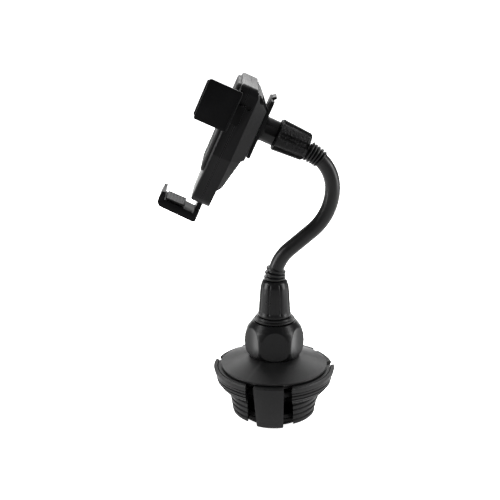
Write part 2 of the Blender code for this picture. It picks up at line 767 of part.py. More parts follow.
def boot_profile(length, radii, ribs):
    """A ribbed boot along +Z from 0, its fins' radii running from the far end to 0."""
    pitch = length / ribs
    points = []
    for n in range(ribs):
        base = length - n * pitch
        radius = lerp(*radii, n / (ribs - 1))
        points += [
            (radius - 0.0012, base), (radius, base - 0.25 * pitch),
            (radius, base - 0.60 * pitch), (radius - 0.0012, base - 0.85 * pitch),
        ]
    return [(0, length), *points, (radii[1] - 0.0012, 0), (0, 0)]


def neck_run(start, end, count, origin):
    """Evenly spaced centreline points between two distances along it, from an origin."""
    return [neck_point(lerp(start, end, n / (count - 1)))[0] - origin for n in range(count)]


def neck_frame(name, distance):
    point, heading = neck_point(distance)
    return frame_empty(name, location=point, rotation=(-heading, 0, 0))


def neck_segment(n, stops, first, last):
    """One link: it pivots at its start, about an empty there, and ends in a hollow or at the stem."""
    start = stops[n]
    end = stops[n + 1]
    pivot = frame_empty(f"neck_pivot_{n + 1}", location=neck_point(start)[0])
    begin = start + (0.0010 if first else 0)
    finish = end - (0 if last else SEGMENT_GAP)
    link = tube(
        f"neck_segment_{n + 1}", neck_run(begin, finish, 4, pivot.location),
        NECK_RADIUS, pivot, "rubber", resolution=2,
    )
    if not first:
        join(link, ball(f"neck_ball_{n + 1}", SEGMENT_BALL, (0, 0, 0), pivot, sides=12))
    return link, pivot


def make_neck():
    """A chain of short tubes, each with a ball start and a hollow end, pivoting at the balls' centres."""
    flexible = NECK_LENGTH - STEM_LENGTH
    stops = [0.0, *NECK_PIVOTS, flexible]
    links = [
        neck_segment(n, stops, n == 0, n == len(NECK_PIVOTS)) for n in range(len(NECK_PIVOTS) + 1)
    ]
    first = links[0][0]
    final, pivot = links[-1]
    lower = turned(
        "lower_boot", boot_profile(BOOT_LENGTH, BOOT_RADII[::-1], 3),
        neck_frame("lower_boot_frame", 0), steps=16,
    )
    upper = turned(
        "upper_boot", boot_profile(UPPER_BOOT_LENGTH, UPPER_BOOT_RADII, 4),
        neck_frame("upper_boot_frame", flexible - UPPER_BOOT_LENGTH), steps=16,
    )
    join(first, lower)
    join(final, upper)
    for n, (link, _) in enumerate(links[:-1]):
        centre = neck_point(stops[n + 1])[0]
        cut(link, ball(f"neck_hollow_{n + 1}", SOCKET_RADIUS, centre, None, sides=12))
    end, heading = neck_point(flexible)
    direction = Vector((0, math.sin(heading), math.cos(heading)))
    cut(final, cylinder(
        "stem_socket", (STEM_RADIUS + GAP, STEM_RADIUS + GAP),
        end - 0.0045 * direction, end + 0.002 * direction, None,
    ))
    stud = ball("ball_stud", BALL_RADIUS, BALL_CENTRE - pivot.location, pivot, "steel", sides=20)
    join(stud, cylinder(
        "stud_stem", (STEM_RADIUS, STEM_RADIUS), end - 0.0042 * direction, BALL_CENTRE, None, sides=16
    ))


# ---- ball joint ------------------------------------------------------------------------------
def belt(inner, wall, spread):
    """The profile of a spherical belt about y, its outer side first."""
    outer_side = arc((0, 0), inner + wall, spread, -spread, 5)
    inner_side = arc((0, 0), inner, -spread, spread, 5)
    return outer_side + inner_side


def make_joint():
    """Two thin liners carry tilt and pan, the collet grips them, and the nut squeezes the collet."""
    tilt_inner = BALL_RADIUS + LINER_GAP
    pan_inner = tilt_inner + LINER_WALL + LINER_GAP
    turned("tilt_liner", belt(tilt_inner, LINER_WALL, 34), BALL, "acetal", 16, True, "Y")
    turned("pan_liner", belt(pan_inner, LINER_WALL, 30), BALL, "acetal", 16, True, "Y")
    cavity = pan_inner + LINER_WALL + 0.0003
    mouth = COLLET_END - BALL_BACK
    spread = math.degrees(math.asin(mouth / cavity))
    hollow = arc((0, BALL_BACK), cavity, -80, spread, 8)
    start = PLATE_THICKNESS / 2 + GAP
    collet = turned(
        "ball_collet",
        [
            *reversed(hollow), (0, BALL_BACK - cavity), (0, start), (COLLET_RADIUS, start),
            (COLLET_RADIUS, COLLET_SHOULDER), (COLLET_INNER_RADIUS, COLLET_SHOULDER + 0.0004),
            (COLLET_INNER_RADIUS, COLLET_END),
        ],
        HEAD, "satin", 24, True, "Y",
    )
    for n in range(NUT_GROOVES):
        angle = n * math.tau / NUT_GROOVES
        spoke = frame_empty(f"groove_frame_{n + 1}", HEAD, rotation=(0, angle, 0))
        cut(collet, box(
            f"collet_slot_{n + 1}", (0.0054, 0.0030, -COLLET_SLOT), (0.0120, 0.0300, COLLET_SLOT), spoke
        ))
    cut(collet, cylinder("collet_pilot", (0.0019, 0.0019), (0, -0.01, 0), (0, 0.0085, 0), HEAD, sides=16))
    nut = turned(
        "collet_nut",
        [
            (NUT_BORE, NUT_START), (NUT_RADII[0] - 0.0006, NUT_START), (NUT_RADII[0], NUT_START + 0.0008),
            (NUT_RADII[1], NUT_END - 0.0018), (0.0084, NUT_END - 0.0008), (NUT_MOUTH, NUT_END),
            (NUT_BORE, NUT_END - 0.0060),
        ],
        HEAD, "satin", 30, True, "Y",
    )
    for n in range(NUT_GROOVES):
        angle = n * math.tau / NUT_GROOVES
        spoke = frame_empty(f"nut_groove_frame_{n + 1}", HEAD, rotation=(0, angle, 0))
        cut(nut, cylinder(
            f"nut_groove_{n + 1}", (0.0015, 0.0015), (NUT_RADII[0] + 0.0006, 0.0080, 0),
            (NUT_RADII[1] + 0.0004, 0.0350, 0), spoke, sides=10,
        ))


def make_plate():
    """The quick-release plate with its curled lip, and the screw that holds the collet to it."""
    half = PLATE_THICKNESS / 2
    plate = box(
        "mount_plate", (-PLATE_WIDTH / 2, -half, PLATE_BOTTOM),
        (PLATE_WIDTH / 2, half, PLATE_TOP), HEAD, "matte",
    )
    lip = [
        (-half, PLATE_TOP - 0.001), (half, PLATE_TOP - 0.001), (0.0024, 0.0236), (0.0016, 0.0248),
        (-0.0004, 0.0238),
    ]
    join(plate, outline("plate_lip", lip, -0.0070, 0.0070, HEAD, plane="YZ"))
    cut(plate, cylinder("plate_hole", (0.0034, 0.0034), (0, -0.01, 0), (0, 0.01, 0), HEAD, sides=20))
    turned(
        "socket_screw",
        [(0, 0.0075), (0.0016, 0.0075), (0.0016, half), (0.0031, half - 0.0002), (0.0031, -half), (0, -half)],
        frame_empty("socket_screw_frame", HEAD, rotation=(math.radians(-90), 0, 0)), "steel", 16,
    )


# ---- cradle ----------------------------------------------------------------------------------
def body_outline(inset=0.0):
    """The cradle's front view, with rounded corners, at an inset."""
    wide = BODY_HALF_WIDTH - inset
    narrow = BODY_FOOT_HALF_WIDTH - inset
    top = BODY_TOP - inset
    bottom = BODY_BOTTOM + inset
    corner = max(0.0045 - inset, 0.0015)
    toe = max(0.0080 - inset, 0.0030)
    right = [
        *arc((narrow - toe, bottom + toe), toe, -90, -12, 5),
        (wide, BODY_TAPER_START),
        *arc((wide - corner, top - corner), corner, 0, 90, 5),
    ]
    return right + [(-x, z) for x, z in reversed(right)]


def bulge_outline(inset=0.0):
    """The back cover's side view: a slope under the top, a flat behind the plate and a long taper."""
    return [
        (BODY_REAR - 0.003, BODY_TOP - 0.002 - inset), (BODY_REAR, BODY_TOP - 0.0030 - inset),
        (-0.0030 - inset, 0.0190 - inset), (-0.0016 - inset, 0.0170 - inset), (-0.0016 - inset, -0.0200),
        (-0.0034 - inset, -0.0212), (-0.0074 - inset, -0.0430 + inset / 2), (BODY_REAR, -0.0462 + inset),
        (BODY_REAR - 0.003, -0.0462 + inset),
    ]


def hipped_back(name):
    """The back cover's raised part: the cradle's outline drawn in towards a narrower flat."""
    wide = body_outline(HIP_INSETS[0])
    narrow = body_outline(HIP_INSETS[1])
    count = len(wide)

    def build(shape):
        low = [shape.verts.new((x, HIP_START, z)) for x, z in wide]
        high = [shape.verts.new((x, HIP_END, z)) for x, z in narrow]
        shape.faces.new(low)
        shape.faces.new(high)
        for n in range(count):
            after = (n + 1) % count
            shape.faces.new((low[n], low[after], high[after], high[n]))
        bmesh.ops.triangulate(shape, faces=shape.faces)

    hip = piece(name, build, HEAD, None)
    keep(hip, outline(f"{name}_side", bulge_outline(), -0.04, 0.04, HEAD, plane="YZ"))
    return hip


def leg_slots(shell, label):
    """Openings for the arms' legs at both sides and for the foot's rail at the bottom."""
    for side in (-1, 1):
        x = sorted((side * 0.0250, side * 0.0400))
        cut(shell, box(
            f"{label}_leg_slot_{side}", (x[0], LEG_FRONT - 0.0004, LEG_LOW - 0.0004),
            (x[1], LEG_REAR + 0.0004, LEG_HIGH + 0.0004), HEAD,
        ))
    cut(shell, box(
        f"{label}_rail_slot", (-RAIL_HALF_WIDTH - 0.0004, RAIL_FRONT - 0.0004, -0.0700),
        (RAIL_HALF_WIDTH + 0.0004, RAIL_REAR + 0.0004, -0.0500), HEAD,
    ))


def make_cradle():
    front = outline("cradle_front", body_outline(), BODY_FRONT, BODY_SPLIT - GAP, HEAD, "satin")
    bevel(front, 0.0008)
    cut(front, outline(
        "front_cavity", body_outline(BODY_WALL), BODY_FRONT + BODY_WALL, BODY_SPLIT + 0.004, HEAD
    ))
    back = outline("cradle_back", body_outline(), BODY_SPLIT, BODY_REAR, HEAD, "satin")
    top_cut = [(-0.0130, 0.0260), (-0.0080, 0.0150), (0.0, 0.0150), (0.0, 0.0260)]
    chamfer = outline("back_chamfer", top_cut, -0.05, 0.05, HEAD, plane="YZ")
    bulge = hipped_back("back_bulge")
    cavity = outline("back_cavity", body_outline(BODY_WALL), -0.03, BODY_REAR - BODY_WALL, HEAD)
    well = outline(
        "bulge_cavity", bulge_outline(BODY_WALL), -BULGE_HALF_WIDTH + BODY_WALL, BULGE_HALF_WIDTH - BODY_WALL,
        HEAD, plane="YZ",
    )
    cut(back, chamfer)
    join(back, bulge)
    cut(back, cavity, well)
    for n, (x, z) in enumerate(SHELL_SCREWS):
        post = cylinder(
            f"front_boss_{n + 1}", (0.0026, 0.0026),
            (x, BODY_FRONT + 0.001, z), (x, BODY_SPLIT - GAP, z), HEAD, sides=16,
        )
        join(front, post)
        cut(front, cylinder(
            f"front_pilot_{n + 1}", (0.0013, 0.0013),
            (x, BODY_FRONT + 0.0024, z), (x, 0, z), HEAD, sides=12,
        ))
        seat = cylinder(
            f"back_boss_{n + 1}", (0.0036, 0.0036),
            (x, BODY_SPLIT, z), (x, BODY_REAR - 0.0005, z), HEAD, sides=16,
        )
        join(back, seat)
        cut(back, cylinder(
            f"back_hole_{n + 1}", (0.0013, 0.0013), (x, -0.03, z), (x, 0, z), HEAD, sides=12
        ))
        cut(back, cylinder(
            f"back_sink_{n + 1}", (0.0026, 0.0026),
            (x, BODY_REAR - 0.0030, z), (x, 0.004, z), HEAD, sides=16,
        ))
        turned(
            f"shell_screw_{n + 1}",
            [(0, 0.0015), (0.0022, 0.0015), (0.0022, 0), (0.0010, 0), (0.0010, -0.0065), (0, -0.0065)],
            frame_empty(
                f"shell_screw_frame_{n + 1}", HEAD,
                (x, BODY_REAR - 0.0030 + GAP, z), (math.radians(-90), 0, 0),
            ),
            "steel", 10,
        )
    leg_slots(front, "front")
    leg_slots(back, "back")
    cut(back, cylinder(
        "button_hole", (0.0038, 0.0038),
        (0, -0.0120, BUTTON_HEIGHT), (0, 0.01, BUTTON_HEIGHT), HEAD, sides=20,
    ))
    pad = outline(
        "front_pad", pad_outline(), BODY_FRONT - 0.0022, BODY_FRONT - GAP, HEAD, "rubber"
    )
    bevel(pad, 0.0006)


def pad_outline():
    """The rubber pad's front view."""
    half = 0.0225
    corner = 0.0040
    right = [
        *arc((half - corner, -0.0360 + corner), corner, -90, 0, 5),
        *arc((half - corner, 0.0222 - corner), corner, 0, 90, 5),
    ]
    return right + [(-x, z) for x, z in reversed(right)]


def rack_outline(side):
    """An arm's leg in front view: a wide bar, then a toothed finger that reaches past the pinion."""
    pitch = math.tau * PINION_PITCH_RADIUS / PINION_TEETH
    inner = 0.0140
    tip = 0.0137
    line = PINION_PITCH_RADIUS
    root = line + TOOTH_HALF_HEIGHT + 0.0002
    crest = line - TOOTH_HALF_HEIGHT + 0.0002
    shift = 0.5 if side > 0 else 0.0
    points = [(-tip, LEG_HIGH - PINION_HEIGHT), (-tip, root)]
    for n in range(-5, 6):
        x = (n + shift) * pitch * side
        if abs(x) > 0.0120:
            continue
        points.append((x, root))
    teeth = sorted(x for x, _ in points[2:])
    points = points[:2]
    for x in teeth:
        points += [
            (x - TOOTH_ROOT_WIDTH / 2, root), (x - TOOTH_TIP_WIDTH / 2, crest),
            (x + TOOTH_TIP_WIDTH / 2, crest), (x + TOOTH_ROOT_WIDTH / 2, root),
        ]
    points += [(inner, root), (inner, LEG_LOW - PINION_HEIGHT)]
    points += [(0.0360, LEG_LOW - PINION_HEIGHT), (0.0360, LEG_HIGH - PINION_HEIGHT)]
    return [(side * x, PINION_HEIGHT + side * z) for x, z in points]


def make_arms():
    for name, side, drop in (("right", 1, 0.0), ("left", -1, ARM_STAGGER)):
        slide = frame_empty(f"{name}_arm_axis", HEAD)
        x = sorted((side * ARM_PLATE_INNER, side * ARM_PLATE_OUTER))
        arm = box(
            f"{name}_arm", (x[0], ARM_FRONT, ARM_LOW + drop), (x[1], ARM_REAR, ARM_HIGH + drop),
            slide, "satin",
        )
        bevel(arm, 0.0005)
        root = box(f"{name}_root", (x[0], ARM_REAR - 0.002, LEG_LOW), (x[1], LEG_REAR, LEG_HIGH), slide)
        leg = outline(f"{name}_leg", rack_outline(side), LEG_FRONT, LEG_REAR, slide)
        join(arm, root, leg)
        pad_x = sorted((side * (ARM_PLATE_INNER - GAP), side * (ARM_PLATE_INNER - 0.0018)))
        pad = box(
            f"{name}_arm_pad", (pad_x[0], ARM_FRONT + 0.0022, ARM_LOW + drop + 0.0022),
            (pad_x[1], BODY_FRONT - 0.0020, ARM_HIGH + drop - 0.0022), slide, "rubber",
        )
        bevel(pad, 0.0005)


def pinion_outline():
    """The pinion's front view about its own axis, with a tooth pointing up."""
    points = []
    root = PINION_PITCH_RADIUS - TOOTH_HALF_HEIGHT - 0.0001
    crest = PINION_PITCH_RADIUS + TOOTH_HALF_HEIGHT - 0.0001
    for n in range(PINION_TEETH):
        angle = math.pi / 2 + n * math.tau / PINION_TEETH
        out = Vector((math.cos(angle), math.sin(angle)))
        across = Vector((-out.y, out.x))
        points += [
            tuple(out * root - across * TOOTH_ROOT_WIDTH / 2),
            tuple(out * crest - across * TOOTH_TIP_WIDTH / 2),
            tuple(out * crest + across * TOOTH_TIP_WIDTH / 2),
            tuple(out * root + across * TOOTH_ROOT_WIDTH / 2),
        ]
    return points


def coil(name, centre, radius, wire, turns, low, high, finish="steel"):
    """A helical spring about the head's y axis."""
    count = turns * 8
    points = []
    for n in range(count + 1):
        angle = n * math.tau / 8
        points.append((
            centre[0] + radius * math.cos(angle), lerp(low, high, n / count),
            centre[1] + radius * math.sin(angle),
        ))
    return tube(name, points, wire, HEAD, finish, resolution=0)


def make_mechanism():
    """Pinion, its axle and spring, and the rocking catch that the button on the back lets go."""
    axis = frame_empty("pinion_axis", HEAD, (0, 0, PINION_HEIGHT))
    pinion = outline("pinion", pinion_outline(), LEG_FRONT + 0.0001, LEG_REAR - 0.0001, axis, "acetal")
    cut(pinion, cylinder("pinion_bore", (0.0016, 0.0016), (0, -0.03, 0), (0, 0, 0), axis, sides=16))
    cylinder(
        "pinion_axle", (0.0013, 0.0013), (0, BODY_FRONT + BODY_WALL + GAP, PINION_HEIGHT),
        (0, -0.0045, PINION_HEIGHT), HEAD, "steel", 16,
    )
    coil("arm_spring", (0, PINION_HEIGHT), 0.0028, 0.0003, 3, -0.0140, -0.0112)
    pivot = frame_empty("catch_axis", HEAD, (0, *LEVER_PIVOT))
    side_view = [
        (-0.0010, -0.0150), (-0.0010, 0.0138), (-0.0056, 0.0138), (-0.0056, 0.0152),
        (0.0010, 0.0152), (0.0010, -0.0150),
    ]
    catch = outline("release_catch", side_view, -0.0030, 0.0030, pivot, "acetal", "YZ")
    join(catch, cylinder("catch_hub", (0.0022, 0.0022), (-0.0030, 0, 0), (0.0030, 0, 0), pivot, sides=16))
    cut(catch, cylinder("catch_bore", (0.0011, 0.0011), (-0.01, 0, 0), (0.01, 0, 0), pivot, sides=12))
    cylinder("catch_pin", (0.0008, 0.0008), (-0.0060, 0, 0), (0.0060, 0, 0), pivot, "steel", 12)
    button_axis = frame_empty("button_axis", HEAD, (0, 0, BUTTON_HEIGHT))
    button = cylinder(
        "release_button", (0.0035, 0.0033), (0, -0.0070, 0), (0, -0.0034, 0), button_axis, "matte", 24
    )
    bevel(button, 0.0004)
    coil("catch_spring", (0, BUTTON_HEIGHT), 0.0014, 0.0002, 4, -0.0199, -0.0118)


def make_phone_foot():
    """The sliding foot: a rail up into the cradle, a shelf and a hooked nose."""
    slide = frame_empty("phone_foot_axis", HEAD)
    side_view = [
        (RAIL_REAR, RAIL_TOP), (RAIL_FRONT, RAIL_TOP), (RAIL_FRONT, SHELF_TOP - 0.0004), (-0.0225, SHELF_TOP),
        (-0.0370, SHELF_TOP + 0.0006), (-0.0380, HOOK_TOP + 0.0008), (-0.0388, HOOK_TOP),
        (-0.0399, HOOK_TOP + 0.0002), (FOOT_NOSE, HOOK_TOP - 0.0050), (-0.0402, -0.0680), (-0.0385, -0.0698),
        (-0.0355, -0.0702), (-0.0150, FOOT_BASE), (RAIL_REAR, FOOT_BASE + 0.0008),
    ]
    foot = outline("phone_foot", side_view, -FOOT_HALF_WIDTH, FOOT_HALF_WIDTH, slide, "satin", "YZ")
    for side in (-1, 1):
        x = sorted((side * RAIL_HALF_WIDTH, side * 0.02))
        cut(foot, box(f"foot_shoulder_{side}", (x[0], -0.0300, -0.0638), (x[1], 0, -0.02), slide))
    cushion = box(
        "foot_cushion", (-0.0095, -0.0360, SHELF_TOP + 0.0009), (0.0095, -0.0235, SHELF_TOP + 0.0021),
        slide, "rubber",
    )
    bevel(cushion, 0.0003)
    cylinder(
        "foot_stop_pin", (0.0010, 0.0010), (0.0145, BODY_FRONT + BODY_WALL + GAP, -0.0300),
        (0.0145, -0.0122, -0.0300), HEAD, "steel", 12,
    )


make_foot()
make_core()
make_disc()
make_knob()
make_wings()
make_ferrule()
make_neck()
make_joint()
make_plate()
make_cradle()
make_arms()
make_mechanism()
make_phone_foot()
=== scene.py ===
"""The looks of the cup-holder phone mount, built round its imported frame. Metres, +Z up."""

import json
import math

import bmesh
import bpy
from mathutils import Matrix, Vector


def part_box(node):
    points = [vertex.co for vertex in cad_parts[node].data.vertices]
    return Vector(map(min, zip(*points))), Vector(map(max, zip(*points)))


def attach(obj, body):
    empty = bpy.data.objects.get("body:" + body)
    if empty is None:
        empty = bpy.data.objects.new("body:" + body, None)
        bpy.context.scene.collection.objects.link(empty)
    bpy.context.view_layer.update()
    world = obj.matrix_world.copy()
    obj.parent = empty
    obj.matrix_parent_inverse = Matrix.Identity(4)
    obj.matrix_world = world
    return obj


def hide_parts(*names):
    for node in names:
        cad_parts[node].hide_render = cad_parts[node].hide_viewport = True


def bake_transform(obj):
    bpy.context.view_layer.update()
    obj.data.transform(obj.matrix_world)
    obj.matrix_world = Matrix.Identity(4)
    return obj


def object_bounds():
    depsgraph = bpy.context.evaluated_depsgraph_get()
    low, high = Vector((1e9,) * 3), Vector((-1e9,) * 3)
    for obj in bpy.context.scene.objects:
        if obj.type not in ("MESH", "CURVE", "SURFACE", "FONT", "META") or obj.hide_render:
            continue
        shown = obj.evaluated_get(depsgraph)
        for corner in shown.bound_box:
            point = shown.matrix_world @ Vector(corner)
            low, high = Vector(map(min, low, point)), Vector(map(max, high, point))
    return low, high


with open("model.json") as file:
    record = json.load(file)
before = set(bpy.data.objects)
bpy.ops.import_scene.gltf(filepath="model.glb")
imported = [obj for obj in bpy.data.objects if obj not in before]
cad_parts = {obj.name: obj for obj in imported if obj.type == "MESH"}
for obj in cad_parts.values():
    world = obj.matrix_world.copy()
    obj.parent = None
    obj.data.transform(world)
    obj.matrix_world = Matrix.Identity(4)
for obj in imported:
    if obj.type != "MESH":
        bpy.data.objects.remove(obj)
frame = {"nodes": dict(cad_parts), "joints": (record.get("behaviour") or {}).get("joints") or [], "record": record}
CAD_LOW, CAD_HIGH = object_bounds()
JOINTS = {joint["name"]: joint for joint in frame["joints"]}

# ---- places that come from the frame -----------------------------------------------------------
GAP = 0.0003
WINGS = 3
WING_STEP = math.tau / WINGS
FIRST_SLIDE = JOINTS["wing_1_slide"]["axis"]
BASE_CLOCK = math.atan2(FIRST_SLIDE[1], FIRST_SLIDE[0]) + WING_STEP / 2
BALL_CENTRE = Vector(JOINTS["head_roll"]["pos_m"])
REARWARD = Vector(JOINTS["head_roll"]["axis"])
HEAD_TILT = math.atan2(REARWARD.z, REARWARD.y)
BALL_BACK = 0.0222                # ball centre behind the mount plate's middle
HEAD = Matrix.Translation(BALL_CENTRE - BALL_BACK * REARWARD) @ Matrix.Rotation(HEAD_TILT, 4, "X")
BASE = Matrix.Rotation(BASE_CLOCK, 4, "Z")
ALONG_Y = Matrix.Rotation(math.radians(-90), 4, "X")   # turns a lathe about Z into one about y
DISC_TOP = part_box("top_disc")[1].z
KNOB_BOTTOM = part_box("expansion_knob")[0].z
KNOB_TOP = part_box("expansion_knob")[1].z
KNOB_RADIUS = 0.0199
RING_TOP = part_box("foot_ring")[1].z
RING_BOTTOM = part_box("foot_ring")[0].z
FERRULE_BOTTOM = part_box("neck_ferrule")[0].z
FERRULE_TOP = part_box("neck_ferrule")[1].z
WING_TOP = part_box("wing_pad_1")[1].z
WING_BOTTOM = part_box("wing_pad_1")[0].z
NECK_RADIUS = 0.0050
NECK_PATH = (                     # the centreline's arcs: radius or None for straight, turn or length
    (0.027, math.radians(49)),
    (None, 0.019),
    (0.037, math.radians(-49)),
    (0.026, math.radians(-58)),
    (None, 0.0164),
)
NECK_PIVOTS = (0.013, 0.0285, 0.044, 0.0595, 0.075, 0.0905)
STEM_LENGTH = 0.0135
BOOT_LENGTH = 0.0080
UPPER_BOOT_LENGTH = 0.0085
BOOT_TO_BALL = 0.0116             # what stays free between the upper boot's fins and the ball
GAITER_RADIUS = 0.0032
GAITER_TO_BALL = 0.0072


# ---- materials ---------------------------------------------------------------------------------
BLOTCH_SCALE = 90.0
BLOTCH_SHADES = (0.82, 1.18)      # the darkest and lightest blotch, as shares of the colour
ROUGHNESS_SPREAD = 0.08


def node(tree, kind, **inputs):
    made = tree.nodes.new(kind)
    for key, value in inputs.items():
        made.inputs[key.replace("_", " ")].default_value = value
    return made


def ramp(tree, source, stops):
    """A colour ramp over a source, from (position, grey or colour) stops."""
    made = tree.nodes.new("ShaderNodeValToRGB")
    elements = made.color_ramp.elements
    while len(elements) < len(stops):
        elements.new(0.5)
    for element, (position, value) in zip(elements, stops):
        element.position = position
        element.color = (*value, 1) if isinstance(value, tuple) else (value, value, value, 1)
    tree.links.new(source, made.inputs["Fac"])
    return made.outputs["Color"]


def surface(
    name, colour, roughness, grain=2600.0, depth=0.00002, wear=1.6, metallic=0.0, specular=0.5,
):
    """A moulded or plated surface: fine grain, faint blotches, and edges rubbed lighter."""
    made = bpy.data.materials.new(name)
    made.use_nodes = True
    tree = made.node_tree
    shader = tree.nodes["Principled BSDF"]
    shader.inputs["Metallic"].default_value = metallic
    shader.inputs["Specular IOR Level"].default_value = specular
    where = tree.nodes.new("ShaderNodeTexCoord").outputs["Object"]
    cloud = node(tree, "ShaderNodeTexNoise", Scale=BLOTCH_SCALE, Detail=4.0, Roughness=0.6)
    fine = node(tree, "ShaderNodeTexNoise", Scale=grain, Detail=2.0, Roughness=0.5)
    tree.links.new(where, cloud.inputs["Vector"])
    tree.links.new(where, fine.inputs["Vector"])
    dark, light = (tuple(shade * c for c in colour) for shade in BLOTCH_SHADES)
    body = ramp(tree, cloud.outputs["Fac"], [(0.35, dark), (0.65, light)])
    rubbed = tuple(min(1.0, wear * c + 0.002 * (wear - 1)) for c in colour)
    pointy = tree.nodes.new("ShaderNodeNewGeometry").outputs["Pointiness"]
    edge = ramp(tree, pointy, [(0.52, 0.0), (0.60, 1.0)])
    mix = tree.nodes.new("ShaderNodeMix")
    mix.data_type = "RGBA"
    mix.inputs[7].default_value = (*rubbed, 1)
    tree.links.new(edge, mix.inputs[0])
    tree.links.new(body, mix.inputs[6])
    tree.links.new(mix.outputs[2], shader.inputs["Base Color"])
    smoothest = roughness - ROUGHNESS_SPREAD / 2
    roughest = roughness + ROUGHNESS_SPREAD / 2
    rough = ramp(tree, cloud.outputs["Fac"], [(0.3, smoothest), (0.7, roughest)])
    tree.links.new(rough, shader.inputs["Roughness"])
    bump = node(tree, "ShaderNodeBump", Strength=0.6, Distance=depth)
    tree.links.new(fine.outputs["Fac"], bump.inputs["Height"])
    tree.links.new(bump.outputs["Normal"], shader.inputs["Normal"])
    return made


MATTE = surface("matte_black_moulded", (0.0022, 0.0022, 0.0023), 0.46, specular=0.07)
# painted light: the disc's black is a lighter copy of the matte black, standing for the overhead light on its top
DISC_PAINTED_LIT = surface("matte_black_disc_painted_lit", (0.0036, 0.0036, 0.0037), 0.38, specular=0.09)
SATIN = surface("satin_black_moulded", (0.0009, 0.0009, 0.0010), 0.34, grain=3200.0, specular=0.03)
TRIM = surface("satin_black_trim", (0.0014, 0.0014, 0.0015), 0.30, grain=3200.0, specular=0.08)
SHELL = surface("satin_black_shell", (0.0009, 0.0009, 0.0010), 0.34, grain=2000.0, specular=0.045)
KNOB = surface("satin_black_knob", (0.0012, 0.0012, 0.0013), 0.30, grain=3200.0, specular=0.07)
GRAINY = surface(
    "textured_black_nut", (0.0014, 0.0014, 0.0015), 0.42, grain=900.0, depth=0.0020, specular=0.06
)
RUBBER = surface(
    "black_rubber", (0.0032, 0.0032, 0.0033), 0.52, grain=1800.0, depth=0.00004, wear=1.3, specular=0.08
)
SLEEVE = surface(
    "black_neck_sleeve", (0.0022, 0.0022, 0.0023), 0.34, grain=2400.0, wear=1.2, specular=0.10
)
STEEL = surface(
    "zinc_plated_steel", (0.50, 0.50, 0.51), 0.32, grain=3000.0, depth=0.00001, wear=1.1, metallic=1.0
)
ACETAL = surface(
    "natural_acetal", (0.66, 0.65, 0.61), 0.42, grain=2200.0, depth=0.00001, wear=1.1, specular=0.45
)


# ---- shapes ------------------------------------------------------------------------------------
SMOOTH_ANGLE = math.radians(34)   # sharper edges than this stay crisp


def lerp(start, end, share):
    return start + (end - start) * share


def smoothstep(low, high, value):
    share = min(max((value - low) / (high - low), 0.0), 1.0)
    return share * share * (3 - 2 * share)


def arc(centre, radius, start, end, count):
    """Points along an arc, angles in degrees."""
    angles = [math.radians(lerp(start, end, n / (count - 1))) for n in range(count)]
    return [(centre[0] + radius * math.cos(a), centre[1] + radius * math.sin(a)) for a in angles]


def rounded(points, radius, closed=True, steps=4):
    """A polyline with arcs of a radius at its corners, smaller ones where its sides are short."""
    out = []
    count = len(points)
    for n, corner in enumerate(points):
        here = Vector(corner)
        if not closed and n in (0, count - 1):
            out.append(tuple(here))
            continue
        before = Vector(points[n - 1]) - here
        after = Vector(points[(n + 1) % count]) - here
        half = before.angle(after) / 2
        if half > math.radians(86):
            out.append(tuple(here))
            continue
        reach = min(radius / math.tan(half), 0.45 * before.length, 0.45 * after.length)
        size = reach * math.tan(half)
        middle = (before.normalized() + after.normalized()).normalized()
        centre = here + middle * size / math.sin(half)
        first = here + before.normalized() * reach - centre
        last = here + after.normalized() * reach - centre
        begin = math.atan2(first.y, first.x)
        turn = (math.atan2(last.y, last.x) - begin + math.pi) % math.tau - math.pi
        for k in range(steps + 1):
            angle = begin + turn * k / steps
            out.append((centre.x + size * math.cos(angle), centre.y + size * math.sin(angle)))
    return out


def divided(points, spacing, closed=False):
    """A polyline with its sides cut into steps of about a spacing, without its last point."""
    ends = points[1:] + points[:1] if closed else points[1:]
    out = []
    for first, last in zip(points, ends):
        parts = max(1, round((Vector(last) - Vector(first)).length / spacing))
        shares = [n / parts for n in range(parts)]
        out += [(lerp(first[0], last[0], share), lerp(first[1], last[1], share)) for share in shares]
    return out


def smooth(mesh, angle=SMOOTH_ANGLE):
    mesh.shade_smooth()
    mesh.set_sharp_from_angle(angle=angle)


def finish_mesh(mesh, matrix=None):
    """Welds, orients and smooths a mesh, and moves it to its place."""
    shape = bmesh.new()
    shape.from_mesh(mesh)
    bmesh.ops.remove_doubles(shape, verts=shape.verts, dist=1e-7)
    bmesh.ops.dissolve_degenerate(shape, edges=shape.edges, dist=1e-8)
    if matrix:
        bmesh.ops.transform(shape, matrix=matrix, verts=shape.verts)
    bmesh.ops.recalc_face_normals(shape, faces=shape.faces)
    shape.to_mesh(mesh)
    shape.free()
    smooth(mesh)


def from_faces(name, points, faces, material, matrix=None):
    """An object from points and faces, its vertices moved to their place in the mount's own frame."""
    mesh = bpy.data.meshes.new(name)
    mesh.from_pydata([tuple(p) for p in points], [], faces)
    finish_mesh(mesh, matrix)
    mesh.materials.clear()
    mesh.materials.append(material)
    made = bpy.data.objects.new(name, mesh)
    bpy.context.scene.collection.objects.link(made)
    return made


def lathe(name, profile, material, matrix=None, steps=96, shape=None, closed=False, sector=None):
    """A (radius, height) profile turned about Z.

    shape(angle, radius, height) gives a changed radius and height. A sector (from, to) is capped.
    """
    first, last = sector or (0.0, math.tau)
    columns = steps + 1 if sector else steps
    count = len(profile)
    points = []
    for column in range(columns):
        angle = lerp(first, last, column / steps)
        for radius, height in profile:
            r, z = shape(angle, radius, height) if shape else (radius, height)
            points.append((r * math.cos(angle), r * math.sin(angle), z))
    faces = []
    rows = count if closed else count - 1
    for column in range(steps):
        here = column * count
        there = (column + 1) % columns * count
        for row in range(rows):
            after = (row + 1) % count
            faces.append((here + row, there + row, there + after, here + after))
    if sector:
        faces.append(tuple(range(count)))
        faces.append(tuple(range((columns - 1) * count, columns * count))[::-1])
    return from_faces(name, points, faces, material, matrix)


